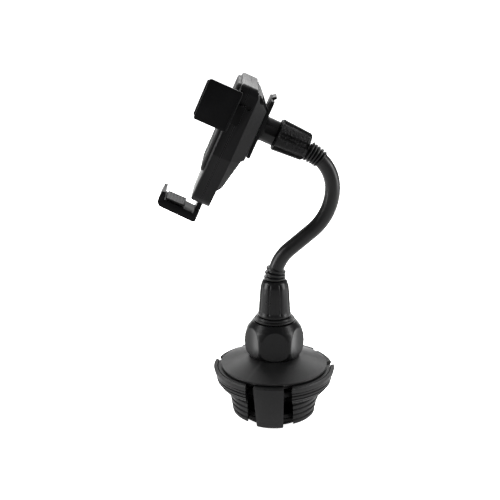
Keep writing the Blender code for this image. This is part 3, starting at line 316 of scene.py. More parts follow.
def prism(name, points, low, high, material, matrix=None, plane="XZ", edge=0.0, segments=3, angle=40):
    """A closed outline extruded between two heights: XZ along y, YZ along x, XY along z."""
    place = {
        "XY": lambda a, b, c: (a, b, c),
        "XZ": lambda a, b, c: (a, c, b),
        "YZ": lambda a, b, c: (c, a, b),
    }[plane]
    count = len(points)
    verts = [place(a, b, low) for a, b in points] + [place(a, b, high) for a, b in points]
    faces = [tuple(range(count)), tuple(range(count, 2 * count))[::-1]]
    faces += [(n, (n + 1) % count, count + (n + 1) % count, count + n) for n in range(count)]
    made = from_faces(name, verts, faces, material, matrix)
    return soften(made, edge, segments, angle) if edge else made


def block(name, low, high, material, matrix=None, edge=0.0003, segments=3):
    """A box with rounded edges."""
    outline = [(low[0], low[1]), (high[0], low[1]), (high[0], high[1]), (low[0], high[1])]
    return prism(name, outline, low[2], high[2], material, matrix, "XY", edge, segments)


def rod(name, radius, start, end, material, matrix=None, sides=32, edge=0.0):
    """A round bar between two points."""
    start = Vector(start)
    along = Vector(end) - start
    turn = Matrix.Translation(start) @ along.to_track_quat("Z", "Y").to_matrix().to_4x4()
    profile = [(0, 0), (radius, 0), (radius, along.length), (0, along.length)]
    if edge:
        profile = rounded(profile, edge, closed=False, steps=3)
    return lathe(name, profile, material, (matrix or Matrix()) @ turn, sides)


def applied(made):
    """The object with its modifiers applied."""
    graph = bpy.context.evaluated_depsgraph_get()
    mesh = bpy.data.meshes.new_from_object(made.evaluated_get(graph))
    made.modifiers.clear()
    made.data = mesh
    smooth(mesh)
    return made


def soften(made, width, segments=3, angle=40):
    """Rounds the edges sharper than an angle."""
    modifier = made.modifiers.new("edges", "BEVEL")
    modifier.width = width
    modifier.segments = segments
    modifier.limit_method = "ANGLE"
    modifier.angle_limit = math.radians(angle)
    return applied(made)


def combine(made, operation, *others):
    """Cuts, joins or intersects with helpers, which are then removed."""
    for other in others:
        modifier = made.modifiers.new(operation.lower(), "BOOLEAN")
        modifier.operation = operation
        modifier.solver = "EXACT"
        modifier.object = other
    bpy.context.view_layer.update()
    applied(made)
    for other in others:
        bpy.data.objects.remove(other, do_unlink=True)
    return made


def cut(made, *others):
    return combine(made, "DIFFERENCE", *others)


def join(made, *others):
    return combine(made, "UNION", *others)


def place(made, body, *nodes):
    """Rides on a body and stands for its CAD nodes."""
    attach(made, body)
    if nodes:
        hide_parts(*nodes)
    return made


# ---- base --------------------------------------------------------------------------------------
# the core: hub, floor, deck and columns
CAM_RADIUS = 0.0256
HUB_RADIUS = 0.0080
HUB_TOP = 0.0277
BOLT_HOLE_RADIUS = 0.0043
FLOOR_LOW = 0.0047
FLOOR_TOP = 0.0077
CORE_FLOOR_RADIUS = 0.0220
DECK_LOW = 0.0210
DECK_TOP = 0.0247
DECK_RADIUS = 0.0243
COLUMN_BACK = 0.0090
COLUMN_INNER_TOP = 0.0290
COLUMN_PLAN = ((0.0, 0.0), (0.0160, 0.0044), (0.0205, 0.0083), (0.0700, 0.0126))
RAIL_LOW = (0.0150, 0.0064, DECK_TOP - 0.001)
RAIL_HIGH = (0.0221, 0.0084, DECK_TOP + 0.003)
# the cover and the tread under it
COVER_LOW = 0.0018
COVER_TOP = 0.0044
COVER_RADIUS = 0.0220
COVER_SCREW_CIRCLE = 0.0165
COVER_HOLE_RADIUS = 0.0013
COVER_SINK_RADIUS = 0.0027
TREAD_GROOVES = (0.0070, 0.0130)  # inner radius of each ring groove under the foot
# the disc
DISC_BORE = 0.0105
DISC_COLLAR = 0.0166              # where the cone meets the flat under the knob
DISC_RADIUS = 0.0355
DISC_EDGE_LOW = 0.0347
# the wings
WING_PLAN = ((0.0173, 0.0), (0.0700, 0.0913))   # parallel to the columns beside it
WING_SIDE = (                     # radius and height down the upper tier, then the lower one
    (0.04075, WING_TOP), (0.0385, 0.0255), (0.0355, 0.0215), (0.0303, 0.0187), (0.0276, WING_BOTTOM),
)
PAD_THICKNESS = 0.0026
WALL = 0.0022
UPPER_BAND = 0.0032               # the smooth band above the ridges
UPPER_RIDGES = 6
LOWER_RIDGES = 4
RIDGE_DEPTH = 0.0013
RIDGE_SHAPE = ((0.0, RIDGE_DEPTH), (0.20, RIDGE_DEPTH), (0.32, 0.0), (0.86, 0.0))
TONGUE_LOW = (0.0100, -0.0060, DECK_TOP + GAP)
TONGUE_HIGH = (0.0340, 0.0060, COLUMN_INNER_TOP)
PIN_RADIUS = 0.0016
PIN_PLACE = 0.0132
PIN_HEIGHTS = (0.0267, 0.0323)


def trimmed(made, plan, matrix):
    """Keeps what lies inside a plan about +X that is given by one side of it."""
    points = list(plan) + [(x, -y) for x, y in reversed(plan) if y]
    return combine(made, "INTERSECT", prism("plan", points, -0.01, 0.06, MATTE, matrix, "XY"))


def make_foot():
    """The rubber tread with two ring grooves, and the cover over it with its screw holes."""
    grooves = []
    for start in TREAD_GROOVES:
        grooves += [(start, 0), (start + 0.0004, 0.0004), (start + 0.0014, 0.0004), (start + 0.0018, 0)]
    tread = [(0, 0), *grooves, (0.0213, 0), (0.0218, 0.0006), (0.0215, 0.0015), (0, 0.0015)]
    pad = lathe("foot_tread", rounded(tread, 0.0002, closed=False, steps=2), RUBBER, BASE, 96)
    place(pad, "base", "foot_pad")
    cover = lathe(
        "foot_cover",
        rounded([
            (0, COVER_LOW), (COVER_RADIUS - 0.0006, COVER_LOW), (COVER_RADIUS, COVER_LOW + 0.0006),
            (COVER_RADIUS, COVER_TOP), (0, COVER_TOP),
        ], 0.0002, closed=False, steps=2),
        MATTE, BASE, 96,
    )
    holes = []
    for n in range(WINGS):
        angle = n * WING_STEP
        x, y = COVER_SCREW_CIRCLE * math.cos(angle), COVER_SCREW_CIRCLE * math.sin(angle)
        holes.append(rod("hole", COVER_HOLE_RADIUS, (x, y, 0), (x, y, 0.01), MATTE, BASE, 20))
        holes.append(rod("sink", COVER_SINK_RADIUS, (x, y, 0), (x, y, 0.0039), MATTE, BASE, 24))
    cut(cover, *holes)
    place(cover, "base", "bottom_cover")


def make_core():
    """Hub, floor, deck, guide rails and three tapering columns, moulded in one."""
    core = lathe(
        "base_columns",
        rounded([
            (HUB_RADIUS, HUB_TOP), (HUB_RADIUS, DECK_TOP), (DECK_RADIUS, DECK_TOP),
            (DECK_RADIUS, DECK_LOW), (HUB_RADIUS, DECK_LOW), (HUB_RADIUS, FLOOR_TOP),
            (CORE_FLOOR_RADIUS, FLOOR_TOP), (CORE_FLOOR_RADIUS, FLOOR_LOW),
            (BOLT_HOLE_RADIUS, FLOOR_LOW), (BOLT_HOLE_RADIUS, HUB_TOP),
        ], 0.0004, steps=3),
        MATTE, BASE, 96, closed=True,
    )
    profile = rounded([
        (CAM_RADIUS + 0.0025, WING_TOP), (0.0400, WING_TOP), (0.0272, 0.0006),
        (CORE_FLOOR_RADIUS + 0.0012, 0.0006), (CORE_FLOOR_RADIUS + 0.0012, 0.0050),
        (COLUMN_BACK, 0.0050), (COLUMN_BACK, COLUMN_INNER_TOP), (CAM_RADIUS + 0.0025, COLUMN_INNER_TOP),
    ], 0.0007, steps=3)
    columns = []
    for n in range(WINGS):
        turn = BASE @ Matrix.Rotation(n * WING_STEP, 4, "Z")
        column = lathe("column", profile, MATTE, turn, 60, closed=True, sector=(-1.2, 1.2))
        columns.append(soften(trimmed(column, COLUMN_PLAN, turn), 0.0005, 3, 50))
    for n in range(WINGS):
        turn = BASE @ Matrix.Rotation((n - 0.5) * WING_STEP, 4, "Z")
        for side in (-1, 1):
            near, far = sorted((side * RAIL_LOW[1], side * RAIL_HIGH[1]))
            columns.append(block(
                "rail", (RAIL_LOW[0], near, RAIL_LOW[2]), (RAIL_HIGH[0], far, RAIL_HIGH[2]),
                MATTE, turn, 0.0003, 2,
            ))
    join(core, *columns)
    place(core, "base", "base_core")


def make_disc():
    """The conical disc on top: a thin rim and a shallow cone up to the knob."""
    skirt = CAM_RADIUS + 0.0006
    skirt_outer = CAM_RADIUS + 0.0022
    profile = rounded([
        (DISC_BORE, DISC_TOP), (DISC_COLLAR, DISC_TOP), (DISC_RADIUS - 0.0010, DISC_EDGE_LOW + 0.0016),
        (DISC_RADIUS, DISC_EDGE_LOW + 0.0013), (DISC_RADIUS, DISC_EDGE_LOW), (skirt_outer, DISC_EDGE_LOW),
        (skirt_outer, COLUMN_INNER_TOP + GAP), (skirt, COLUMN_INNER_TOP + GAP),
        (skirt, DISC_EDGE_LOW - 0.0016), (DISC_BORE, DISC_EDGE_LOW - 0.0016),
    ], 0.0004, steps=4)
    # the disc's lighter black is painted light on its top face
    disc = lathe("expansion_disc", profile, DISC_PAINTED_LIT, BASE, 144, closed=True)
    place(disc, "base", "top_disc")


def outward(start, end):
    """The outward direction of a side that runs down from one (radius, height) point to another."""
    step = (Vector(end) - Vector(start)).normalized()
    return Vector((-step.y, step.x))


def inset_side(inset):
    """The wing's side moved inward, with mitred corners and its ends' heights kept."""
    normals = [outward(a, b) for a, b in zip(WING_SIDE, WING_SIDE[1:])]
    moved = [(WING_SIDE[0][0] - inset / normals[0].x, WING_SIDE[0][1])]
    for n in range(1, len(WING_SIDE) - 1):
        middle = (normals[n - 1] + normals[n]).normalized()
        moved.append(tuple(Vector(WING_SIDE[n]) - inset / middle.dot(normals[n]) * middle))
    moved.append((WING_SIDE[-1][0] - inset / normals[-1].x, WING_SIDE[-1][1]))
    return moved


def along(points, share):
    """The point at a share of the way down a side, and the side's outward direction there."""
    lengths = [(Vector(b) - Vector(a)).length for a, b in zip(points, points[1:])]
    left = share * sum(lengths)
    last = 0
    while last < len(lengths) - 1 and left > lengths[last]:
        left -= lengths[last]
        last += 1
    start = Vector(points[last])
    end = Vector(points[last + 1])
    return start.lerp(end, left / lengths[last]), outward(start, end)


def ridged(points, count):
    """A side cut into soft ridges, top to bottom, with a groove above each and below the last."""
    cuts = [(n + share, depth) for n in range(count) for share, depth in RIDGE_SHAPE]
    cuts.append((count, RIDGE_DEPTH))
    face = []
    for place_along, depth in cuts:
        point, out = along(points, place_along / count)
        face.append(tuple(point - depth * out))
    return face


def make_wings():
    """Ridged rubber faces on sliding carriers, each carrier with its tongue and follower pin."""
    back = inset_side(PAD_THICKNESS)
    top, shoulder, waist, step, bottom = WING_SIDE
    band = Vector(top).lerp(Vector(shoulder), UPPER_BAND / (top[1] - shoulder[1]))
    brow = (step[0] + 0.0015, step[1] + 0.0008)
    ledge = (step[0], step[1] - 0.0006)
    face = rounded([
        (back[0][0], WING_TOP), (top[0] - 0.0001, WING_TOP), tuple(band),
        *ridged([tuple(band - Vector((0.0004, 0.0))), shoulder, waist, brow], UPPER_RIDGES),
        *ridged([ledge, bottom], LOWER_RIDGES),
        *reversed(back[1:]),
    ], 0.00020, steps=3)
    outer = inset_side(PAD_THICKNESS + GAP)
    inner = inset_side(PAD_THICKNESS + GAP + WALL)
    inner[0] = (inner[0][0], WING_TOP - WALL)
    crown = CAM_RADIUS + 0.0034
    shell = rounded([
        (crown, WING_TOP), *outer, *reversed(inner), (crown, WING_TOP - WALL),
    ], 0.0004, steps=3)
    for n in range(WINGS):
        turn = BASE @ Matrix.Rotation((n - 0.5) * WING_STEP, 4, "Z")
        reach = (-0.9, 0.9)
        pad = lathe(f"wing_face_{n + 1}", face, RUBBER, turn, 72, closed=True, sector=reach)
        trimmed(pad, WING_PLAN, turn)
        place(pad, f"wing_{n + 1}", f"wing_pad_{n + 1}")
        carrier = lathe(f"wing_shell_{n + 1}", shell, MATTE, turn, 72, closed=True, sector=reach)
        trimmed(carrier, WING_PLAN, turn)
        tongue = block("tongue", TONGUE_LOW, TONGUE_HIGH, MATTE, turn)
        pin_ends = [(PIN_PLACE, 0, height) for height in PIN_HEIGHTS]
        pin = rod("pin", PIN_RADIUS, *pin_ends, MATTE, turn, 24, 0.0003)
        join(carrier, tongue, pin)
        place(carrier, f"wing_{n + 1}", f"wing_carrier_{n + 1}")


# ---- knob --------------------------------------------------------------------------------------
SCOOPS = 6
SCOOP_HALF_ANGLE = math.radians(28.6)
SCOOP_RADII = (0.0167, 0.0200)    # of the scoops' upright floors, at the middle and the sides
KNOB_WEB_LOW = 0.0488
KNOB_WEB_HIGH = 0.0532
KNOB_BORE_LIMIT = 0.0140          # nothing inside this radius is scooped
SCOOP_BLEND = 0.00012             # how softly a floor meets the knob's shoulder


def scooped(angle, radius, height):
    """Cuts an upright hollow floor into each of the knob's sides, leaving an arch at the shoulder."""
    if radius < KNOB_BORE_LIMIT:
        return radius, height
    step = math.tau / SCOOPS
    across = ((angle + BASE_CLOCK + step / 2) % step - step / 2) / SCOOP_HALF_ANGLE
    floor = lerp(*SCOOP_RADII, across * across)
    apart = (floor - radius) / SCOOP_BLEND
    if apart > 40:
        return radius, height
    return radius - SCOOP_BLEND * math.log1p(math.exp(-apart)), height


def make_knob():
    """The knob: a smooth shoulder over six wide arch-topped scoops with narrow ridges between."""
    side = rounded([
        (0.0143, KNOB_TOP), (0.0181, KNOB_TOP - 0.0048), (0.0195, KNOB_TOP - 0.0095),
        (KNOB_RADIUS, KNOB_TOP - 0.0140), (KNOB_RADIUS - 0.0002, KNOB_BOTTOM + 0.0060),
        (0.0190, KNOB_BOTTOM + 0.0022), (0.0166, KNOB_BOTTOM),
    ], 0.0060, closed=False, steps=3)
    inside = [
        (0.0166, KNOB_BOTTOM), (0.0110, KNOB_BOTTOM), (0.0110, KNOB_WEB_LOW), (0.0087, KNOB_WEB_LOW),
        (0.0087, KNOB_WEB_HIGH), (0.0110, KNOB_WEB_HIGH), (0.0112, 0.0570), (0.0124, 0.0590),
        (0.0126, KNOB_TOP - 0.0004), (0.0130, KNOB_TOP),
    ]
    profile = divided(side, 0.0003) + inside
    knob = lathe("dimpled_knob", profile, KNOB, BASE, 360, scooped, closed=True)
    place(knob, "knob", "expansion_knob")


# ---- neck --------------------------------------------------------------------------------------
FERRULE_BORE_TOP = 0.0850
FERRULE_STEPS = 6                 # rows between two points of its outline, so that the flutes run out
FLUTES = 8
FLUTE_HALF_WIDTH = 0.0009
FLUTE_DEPTH = 0.0007
NECK_START = Vector((0.0, 0.0, FERRULE_TOP + GAP))


def neck_point(distance):
    """The centreline's point and its heading (angle from +Z towards +Y) at a distance along it."""
    point = NECK_START.copy()
    heading = 0.0
    left = distance
    for radius, amount in NECK_PATH:
        length = amount if radius is None else radius * abs(amount)
        step = min(left, length)
        if radius is None:
            point += step * Vector((0, math.sin(heading), math.cos(heading)))
        else:
            side = math.copysign(1, amount)
            turn = side * step / radius
            centre = point + side * radius * Vector((0, math.cos(heading), -math.sin(heading)))
            heading += turn
            point = centre - side * radius * Vector((0, math.cos(heading), -math.sin(heading)))
        left -= step
        if left <= 0:
            break
    return point, heading


NECK_LENGTH = sum(amount if radius is None else radius * abs(amount) for radius, amount in NECK_PATH)
FLEXIBLE = NECK_LENGTH - STEM_LENGTH


def heading_frame(distance):
    """The place and turn of a ring square to the neck's centreline."""
    point, heading = neck_point(distance)
    return Matrix.Translation(point) @ Matrix.Rotation(-heading, 4, "X")


def make_ferrule():
    """The stepped ring on the knob and the tapered ferrule above it."""
    ring = lathe(
        "neck_ring",
        rounded([
            (0.0046, RING_TOP - GAP), (0.0117, RING_TOP - GAP), (0.0121, RING_TOP - 0.0008),
            (0.0121, RING_TOP - 0.0016), (0.0133, RING_TOP - 0.0021), (0.0134, RING_BOTTOM + 0.0006),
            (0.0128, RING_BOTTOM), (0.0046, RING_BOTTOM),
        ], 0.00025, steps=3),
        TRIM, None, 128, closed=True,
    )
    place(ring, "neck_1", "foot_ring")
    low = FERRULE_BOTTOM
    outer = [
        (0.0074, FERRULE_TOP), (0.0082, FERRULE_TOP - 0.0008), (0.0093, FERRULE_TOP - 0.0040),
        (0.0098, FERRULE_TOP - 0.0085), (0.0104, low + 0.0060), (0.0106, low + 0.0030),
        (0.0111, low + 0.0006), (0.0110, low),
    ]
    side = []
    for first, last in zip(outer, outer[1:]):
        shares = [n / FERRULE_STEPS for n in range(FERRULE_STEPS)]
        side += [(lerp(first[0], last[0], share), lerp(first[1], last[1], share)) for share in shares]
    inside = [(0.0110, low), (0.0081, low), (0.0081, FERRULE_BORE_TOP), (0, FERRULE_BORE_TOP)]

    def fluted(angle, radius, height):
        """Narrow grooves that run out before both ends."""
        step = math.tau / FLUTES
        across = (angle % step - step / 2) * radius
        groove = max(0.0, 1 - (across / FLUTE_HALF_WIDTH) ** 2) ** 0.5
        ends = smoothstep(low + 0.0016, low + 0.0030, height)
        ends *= 1 - smoothstep(FERRULE_TOP - 0.0016, FERRULE_TOP - 0.0004, height)
        return radius - FLUTE_DEPTH * groove * ends * (radius > 0.0085), height

    profile = [(0, FERRULE_TOP), *side, *inside]
    ferrule = lathe("fluted_ferrule", profile, TRIM, None, 320, fluted)
    place(ferrule, "neck_1", "neck_ferrule")


def rings_along(profile, sides=64):
    """A closed skin through rings of (radius, distance along the neck), square to the centreline."""
    points = []
    for radius, distance in profile:
        matrix = heading_frame(distance)
        for side in range(sides):
            angle = math.tau * side / sides
            points.append(matrix @ Vector((radius * math.cos(angle), radius * math.sin(angle), 0)))
    last = len(profile) - 1
    faces = [tuple(range(sides)), tuple(range(last * sides, (last + 1) * sides))[::-1]]
    for n in range(last):
        for side in range(sides):
            after = (side + 1) % sides
            here = n * sides
            faces.append((here + side, here + after, here + sides + after, here + sides + side))
    return points, faces


def boot(name, start, end, radii, count, body, tail=()):
    """A ribbed boot: soft fins with narrow necks between, following the neck's curve."""
    pitch = (end - start) / count
    points = [(NECK_RADIUS + 0.0004, start)]
    for n in range(count):
        low = start + n * pitch
        radius = lerp(*radii, n / (count - 1))
        waist = radius - 0.0015
        points += [
            (waist, low + 0.0001), (radius, low + 0.22 * pitch), (radius, low + 0.66 * pitch),
            (waist, low + 0.86 * pitch), (waist, low + pitch),
        ]
    profile = rounded(points + list(tail), 0.0004, closed=False, steps=3)
    made = from_faces(name, *rings_along(profile), SLEEVE)
    return place(made, body)


def sleeve_rings(start, end, count):
    """Rings of the sleeve's surface between two distances along the neck."""
    return rings_along([(NECK_RADIUS, lerp(start, end, n / count)) for n in range(count + 1)], 40)


def make_neck():
    """Ribbed boots at both ends, and a smooth sleeve in lengths that each cover one joint."""
    lower = boot("lower_boot", 0.0, BOOT_LENGTH, (0.0072, 0.0066), 3, "neck_1")
    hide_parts("neck_segment_1")
    mouth = NECK_LENGTH - BOOT_TO_BALL
    gaiter = [(GAITER_RADIUS, mouth + 0.0003), (GAITER_RADIUS, NECK_LENGTH - GAITER_TO_BALL)]
    upper = boot(
        "upper_boot", FLEXIBLE - UPPER_BOOT_LENGTH, mouth, (0.0061, 0.0068), 5, "neck_7", gaiter
    )
    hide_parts("neck_segment_7")
    seams = [BOOT_LENGTH - 0.001]
    seams += [(a + b) / 2 for a, b in zip(NECK_PIVOTS, NECK_PIVOTS[1:])]
    seams += [FLEXIBLE - UPPER_BOOT_LENGTH + 0.001]
    for n, pivot in enumerate(NECK_PIVOTS):
        points, faces = sleeve_rings(seams[n], seams[n + 1], 24)
        made = from_faces(f"neck_sleeve_{n + 1}", points, faces, SLEEVE)
        point, heading = neck_point(pivot)
        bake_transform(made)
        if n < len(NECK_PIVOTS) - 1:
            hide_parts(f"neck_segment_{n + 2}")


# ---- ball joint --------------------------------------------------------------------------------
SOCKET_RADIUS = 0.0076
COLLET_START = 0.0013
COLLET_END = 0.0266
NUT_START = 0.0114
NUT_END = 0.0330
NUT_GROOVES = 6
NUT_GROOVE_DEPTH = 0.0021
NUT_BORE_LIMIT = 0.00835          # nothing inside this radius is grooved
COLLET_SLOTS = 4
SLOT_HALF_WIDTH = 0.0026
JOINT_CLOCK = math.radians(12)    # how far the nearest groove and slot sit above the side


def make_joint():
    """The slotted collet and the grooved nut that closes it on the ball."""
    mouth = math.degrees(math.asin((COLLET_END - BALL_BACK) / SOCKET_RADIUS))
    hollow = arc((0, BALL_BACK), SOCKET_RADIUS, -80, mouth, 20)
    collet = lathe(
        "slotted_collet",
        rounded([
            *reversed(hollow), (0.0001, BALL_BACK - SOCKET_RADIUS), (0.0001, COLLET_START),
            (0.0083, COLLET_START), (0.0083, 0.0107), (0.0079, 0.0114), (0.0079, COLLET_END),
        ], 0.0004, steps=3),
        TRIM, HEAD @ ALONG_Y, 96, closed=True,
    )
    slots = []
    for n in range(COLLET_SLOTS):
        turn = HEAD @ Matrix.Rotation(n * math.tau / COLLET_SLOTS - JOINT_CLOCK, 4, "Y")
        low = (0.0056, 0.0030, -SLOT_HALF_WIDTH)
        high = (0.0120, 0.0300, SLOT_HALF_WIDTH)
        slots.append(block("slot", low, high, SATIN, turn, 0.0005))
    slots.append(rod("pilot", 0.0019, (0, -0.01, 0), (0, 0.0085, 0), SATIN, HEAD))
    cut(collet, *slots)
    place(collet, "head", "ball_collet")
    profile = [
        (0.0082, NUT_START), (0.0098, NUT_START), (0.0104, NUT_START + 0.0008), (0.0092, NUT_END - 0.0020),
        (0.0084, NUT_END - 0.0006), (0.0074, NUT_END), (0.0082, NUT_END - 0.0060),
    ]
    dense = divided(rounded(profile, 0.0006, steps=4), 0.0008, closed=True)

    def lobed(angle, radius, height):
        """Six wide lobes with narrow round grooves that run out at the front rim."""
        if radius < NUT_BORE_LIMIT or height < NUT_START + 0.0001:
            return radius, height
        step = math.tau / NUT_GROOVES
        across = abs((angle + JOINT_CLOCK + step / 2) % step - step / 2) * radius
        groove = smoothstep(0.0022, 0.0013, across)
        shoulder = 0.00015 * math.exp(-((across - 0.0024) / 0.0007) ** 2)
        run = smoothstep(NUT_START + 0.0004, NUT_START + 0.0022, height)
        out = smoothstep(NUT_BORE_LIMIT, 0.0090, radius)
        return radius - out * (NUT_GROOVE_DEPTH * groove * run + shoulder), height

    nut = lathe("lock_nut", dense, GRAINY, HEAD @ ALONG_Y, 240, lobed, closed=True)
    place(nut, "nut", "collet_nut")


PLATE_LOW = -0.0188
PLATE_HIGH = 0.0196
PLATE_HALF_WIDTH = 0.0170
PLATE_HALF_THICKNESS = 0.0010
PLATE_CORNER = 0.0030
LIP_HALF_WIDTH = 0.0070


def make_plate():
    """The quick-release plate: a thin sheet with round corners, a hole and a curled lip."""
    half = PLATE_HALF_THICKNESS
    wide = PLATE_HALF_WIDTH
    outline = rounded([
        (-wide, PLATE_LOW), (wide, PLATE_LOW), (wide, PLATE_HIGH), (-wide, PLATE_HIGH),
    ], PLATE_CORNER, steps=6)
    plate = prism("mount_plate_sheet", outline, -half, half, SATIN, HEAD, "XZ", 0.0001, 1)
    lip = rounded([
        (-half, 0.0180), (half, 0.0180), (half, 0.0196), (0.0022, 0.0210), (0.0014, 0.0220),
        (-0.0004, 0.0208), (-half, 0.0196),
    ], 0.0005, steps=3)
    join(plate, prism("lip", lip, -LIP_HALF_WIDTH, LIP_HALF_WIDTH, SATIN, HEAD, "YZ", 0.0003, 2))
    cut(plate, rod("hole", 0.0034, (0, -0.01, 0), (0, 0.01, 0), MATTE, HEAD, 48))
    place(plate, "head", "mount_plate")


# ---- cradle ------------------------------------------------------------------------------------
BODY_FRONT = -0.0222
BODY_SPLIT = -0.0162
BODY_REAR = -0.0098
BODY_WALL = 0.0018
SEAM = 0.0001
WELL_HALF_WIDTH = 0.0172
BODY_TOP = 0.0238
BODY_BOTTOM = -0.0570
BODY_HALF_WIDTH = 0.0300
BODY_TOE_HALF_WIDTH = 0.0205
BODY_KINK = -0.0220               # where the straight sides start to draw in
BODY_BEVEL = 0.0014
CRISP_ANGLE = math.radians(15)    # keeps the kink crisp
HIP_DEPTHS = (-0.0112, -0.0012)   # between which the back cover draws in
HIP_INSETS = (0.0004, 0.0110)
PAD_DEPTH = 0.0022
PAD_BEVEL = 0.0012
SIDE_HOLE_RADIUS = 0.0014
SIDE_HOLE = (-0.0126, 0.0118)     # its y and z
LEG = ((-0.0182, -0.0004), (-0.0144, 0.0124))         # y and z of the arms' leg slots
RAIL_SLOT = ((-0.0094, -0.0172, -0.0700), (0.0094, -0.0132, -0.0500))
BUTTON_HEIGHT = -0.0270
SHELL_SCREWS = ((0.0240, 0.0185), (-0.0240, 0.0185), (0.0175, -0.0440), (-0.0175, -0.0440))


def body_outline(inset=0.0, steps=8):
    """The cradle's front view at an inset, with rounded corners."""
    wide = BODY_HALF_WIDTH - inset
    narrow = BODY_TOE_HALF_WIDTH - inset
    top = BODY_TOP - inset
    bottom = BODY_BOTTOM + inset
    corner = max(0.0045 - inset, 0.0015)
    toe = max(0.0080 - inset, 0.0030)
    right = [
        *arc((narrow - toe, bottom + toe), toe, -90, -12, steps), (wide, BODY_KINK),
        *arc((wide - corner, top - corner), corner, 0, 90, steps),
    ]
    return right + [(-x, z) for x, z in reversed(right)]


def bulge_outline(inset=0.0):
    """The rear cover's side view: a slope, a flat behind the plate and a long taper."""
    rear = -0.0016 - inset
    return [
        (BODY_REAR - 0.003, BODY_TOP - 0.0020 - inset), (BODY_REAR, BODY_TOP - 0.0030 - inset),
        (-0.0030 - inset, 0.0190 - inset), (rear, 0.0170 - inset), (rear, -0.0200),
        (-0.0034 - inset, -0.0212), (-0.0074 - inset, -0.0430 + inset / 2), (BODY_REAR, -0.0462 + inset),
        (BODY_REAR - 0.003, -0.0462 + inset),
    ]


def hipped(name, insets, depths):
    """A solid that draws the cradle's outline in from one depth to another."""
    low, high = depths
    wide, narrow = (body_outline(inset) for inset in insets)
    count = len(wide)
    points = [(x, low, z) for x, z in wide] + [(x, high, z) for x, z in narrow]
    faces = [tuple(range(count)), tuple(range(count, 2 * count))[::-1]]
    for n in range(count):
        after = (n + 1) % count
        faces += [(n, after, count + n), (after, count + after, count + n)]
    return from_faces(name, points, faces, SHELL, HEAD)


def soften_between(made, width, low, high, angle=30):
    """Rounds the sharp edges that lie between two depths of the cradle."""
    to_head = HEAD.inverted()
    shape = bmesh.new()
    shape.from_mesh(made.data)
    edges = [
        edge for edge in shape.edges
        if edge.calc_face_angle(0) > math.radians(angle)
        and all(low < (to_head @ vert.co).y < high for vert in edge.verts)
    ]
    bmesh.ops.bevel(
        shape, geom=edges, offset=width, segments=3, profile=0.5, affect="EDGES", clamp_overlap=True
    )
    shape.to_mesh(made.data)
    shape.free()
    smooth(made.data)
    return made


def leg_cutters():
    """What leaves room for the arms' legs and the foot's rail."""
    made = []
    for side in (-1, 1):
        x = sorted((side * (BODY_HALF_WIDTH - 0.0050), side * (BODY_HALF_WIDTH + 0.0100)))
        made.append(block("slot", (x[0], *LEG[0]), (x[1], *LEG[1]), SHELL, HEAD))
    made.append(block("slot", *RAIL_SLOT, SHELL, HEAD))
    return made


def make_cradle():
    """Front and rear shells with their bosses, screw holes and side holes, and the rubber pad."""
    front = prism(
        "cradle_front_shell", body_outline(), BODY_FRONT, BODY_SPLIT - SEAM, SHELL, HEAD, "XZ"
    )
    soften_between(front, BODY_BEVEL, BODY_FRONT - 0.001, BODY_FRONT + 0.001)
    cavity = prism(
        "cavity", body_outline(BODY_WALL), BODY_FRONT + BODY_WALL, BODY_SPLIT + 0.004, SHELL, HEAD
    )
    cut(front, cavity)
    rear = prism("cradle_rear_shell", body_outline(), BODY_SPLIT, BODY_REAR, SHELL, HEAD)
    cut(rear, prism(
        "chamfer", [(-0.0130, 0.0260), (-0.0080, 0.0150), (0.0, 0.0150), (0.0, 0.0260)], -0.05, 0.05,
        SHELL, HEAD, "YZ",
    ))
    bulge = hipped("bulge", HIP_INSETS, HIP_DEPTHS)
    combine(bulge, "INTERSECT", prism("side", bulge_outline(), -0.04, 0.04, SHELL, HEAD, "YZ"))
    join(rear, bulge)
    cut(
        rear,
        prism("cavity", body_outline(BODY_WALL), -0.03, BODY_REAR - BODY_WALL, SHELL, HEAD),
        prism(
            "well", bulge_outline(BODY_WALL), -WELL_HALF_WIDTH, WELL_HALF_WIDTH, SHELL, HEAD, "YZ",
        ),
    )
    for x, z in SHELL_SCREWS:
        join(front, rod("boss", 0.0026, (x, BODY_FRONT + 0.001, z), (x, BODY_SPLIT - SEAM, z), SHELL, HEAD))
        cut(front, rod("pilot", 0.0013, (x, BODY_FRONT + 0.0024, z), (x, 0, z), SHELL, HEAD))
        join(rear, rod("boss", 0.0036, (x, BODY_SPLIT, z), (x, BODY_REAR - 0.0005, z), SHELL, HEAD))
        cut(
            rear,
            rod("hole", 0.0013, (x, -0.03, z), (x, 0, z), SHELL, HEAD),
            rod("sink", 0.0026, (x, BODY_REAR - 0.0030, z), (x, 0.004, z), SHELL, HEAD),
        )
    cut(front, *leg_cutters())
    for side in (-1, 1):
        ends = [(x * side, *SIDE_HOLE) for x in (BODY_HALF_WIDTH + 0.0010, BODY_HALF_WIDTH - 0.0014)]
        cut(rear, rod("side_hole", SIDE_HOLE_RADIUS, *ends, SHELL, HEAD, 32))
    cut(
        rear, *leg_cutters(),
        rod("button", 0.0038, (0, -0.0120, BUTTON_HEIGHT), (0, 0.01, BUTTON_HEIGHT), SHELL, HEAD, 40),
    )
    for shell, body_node in ((front, "cradle_front"), (rear, "cradle_back")):
        smooth(shell.data, CRISP_ANGLE)
        place(shell, "head", body_node)
    make_pad()


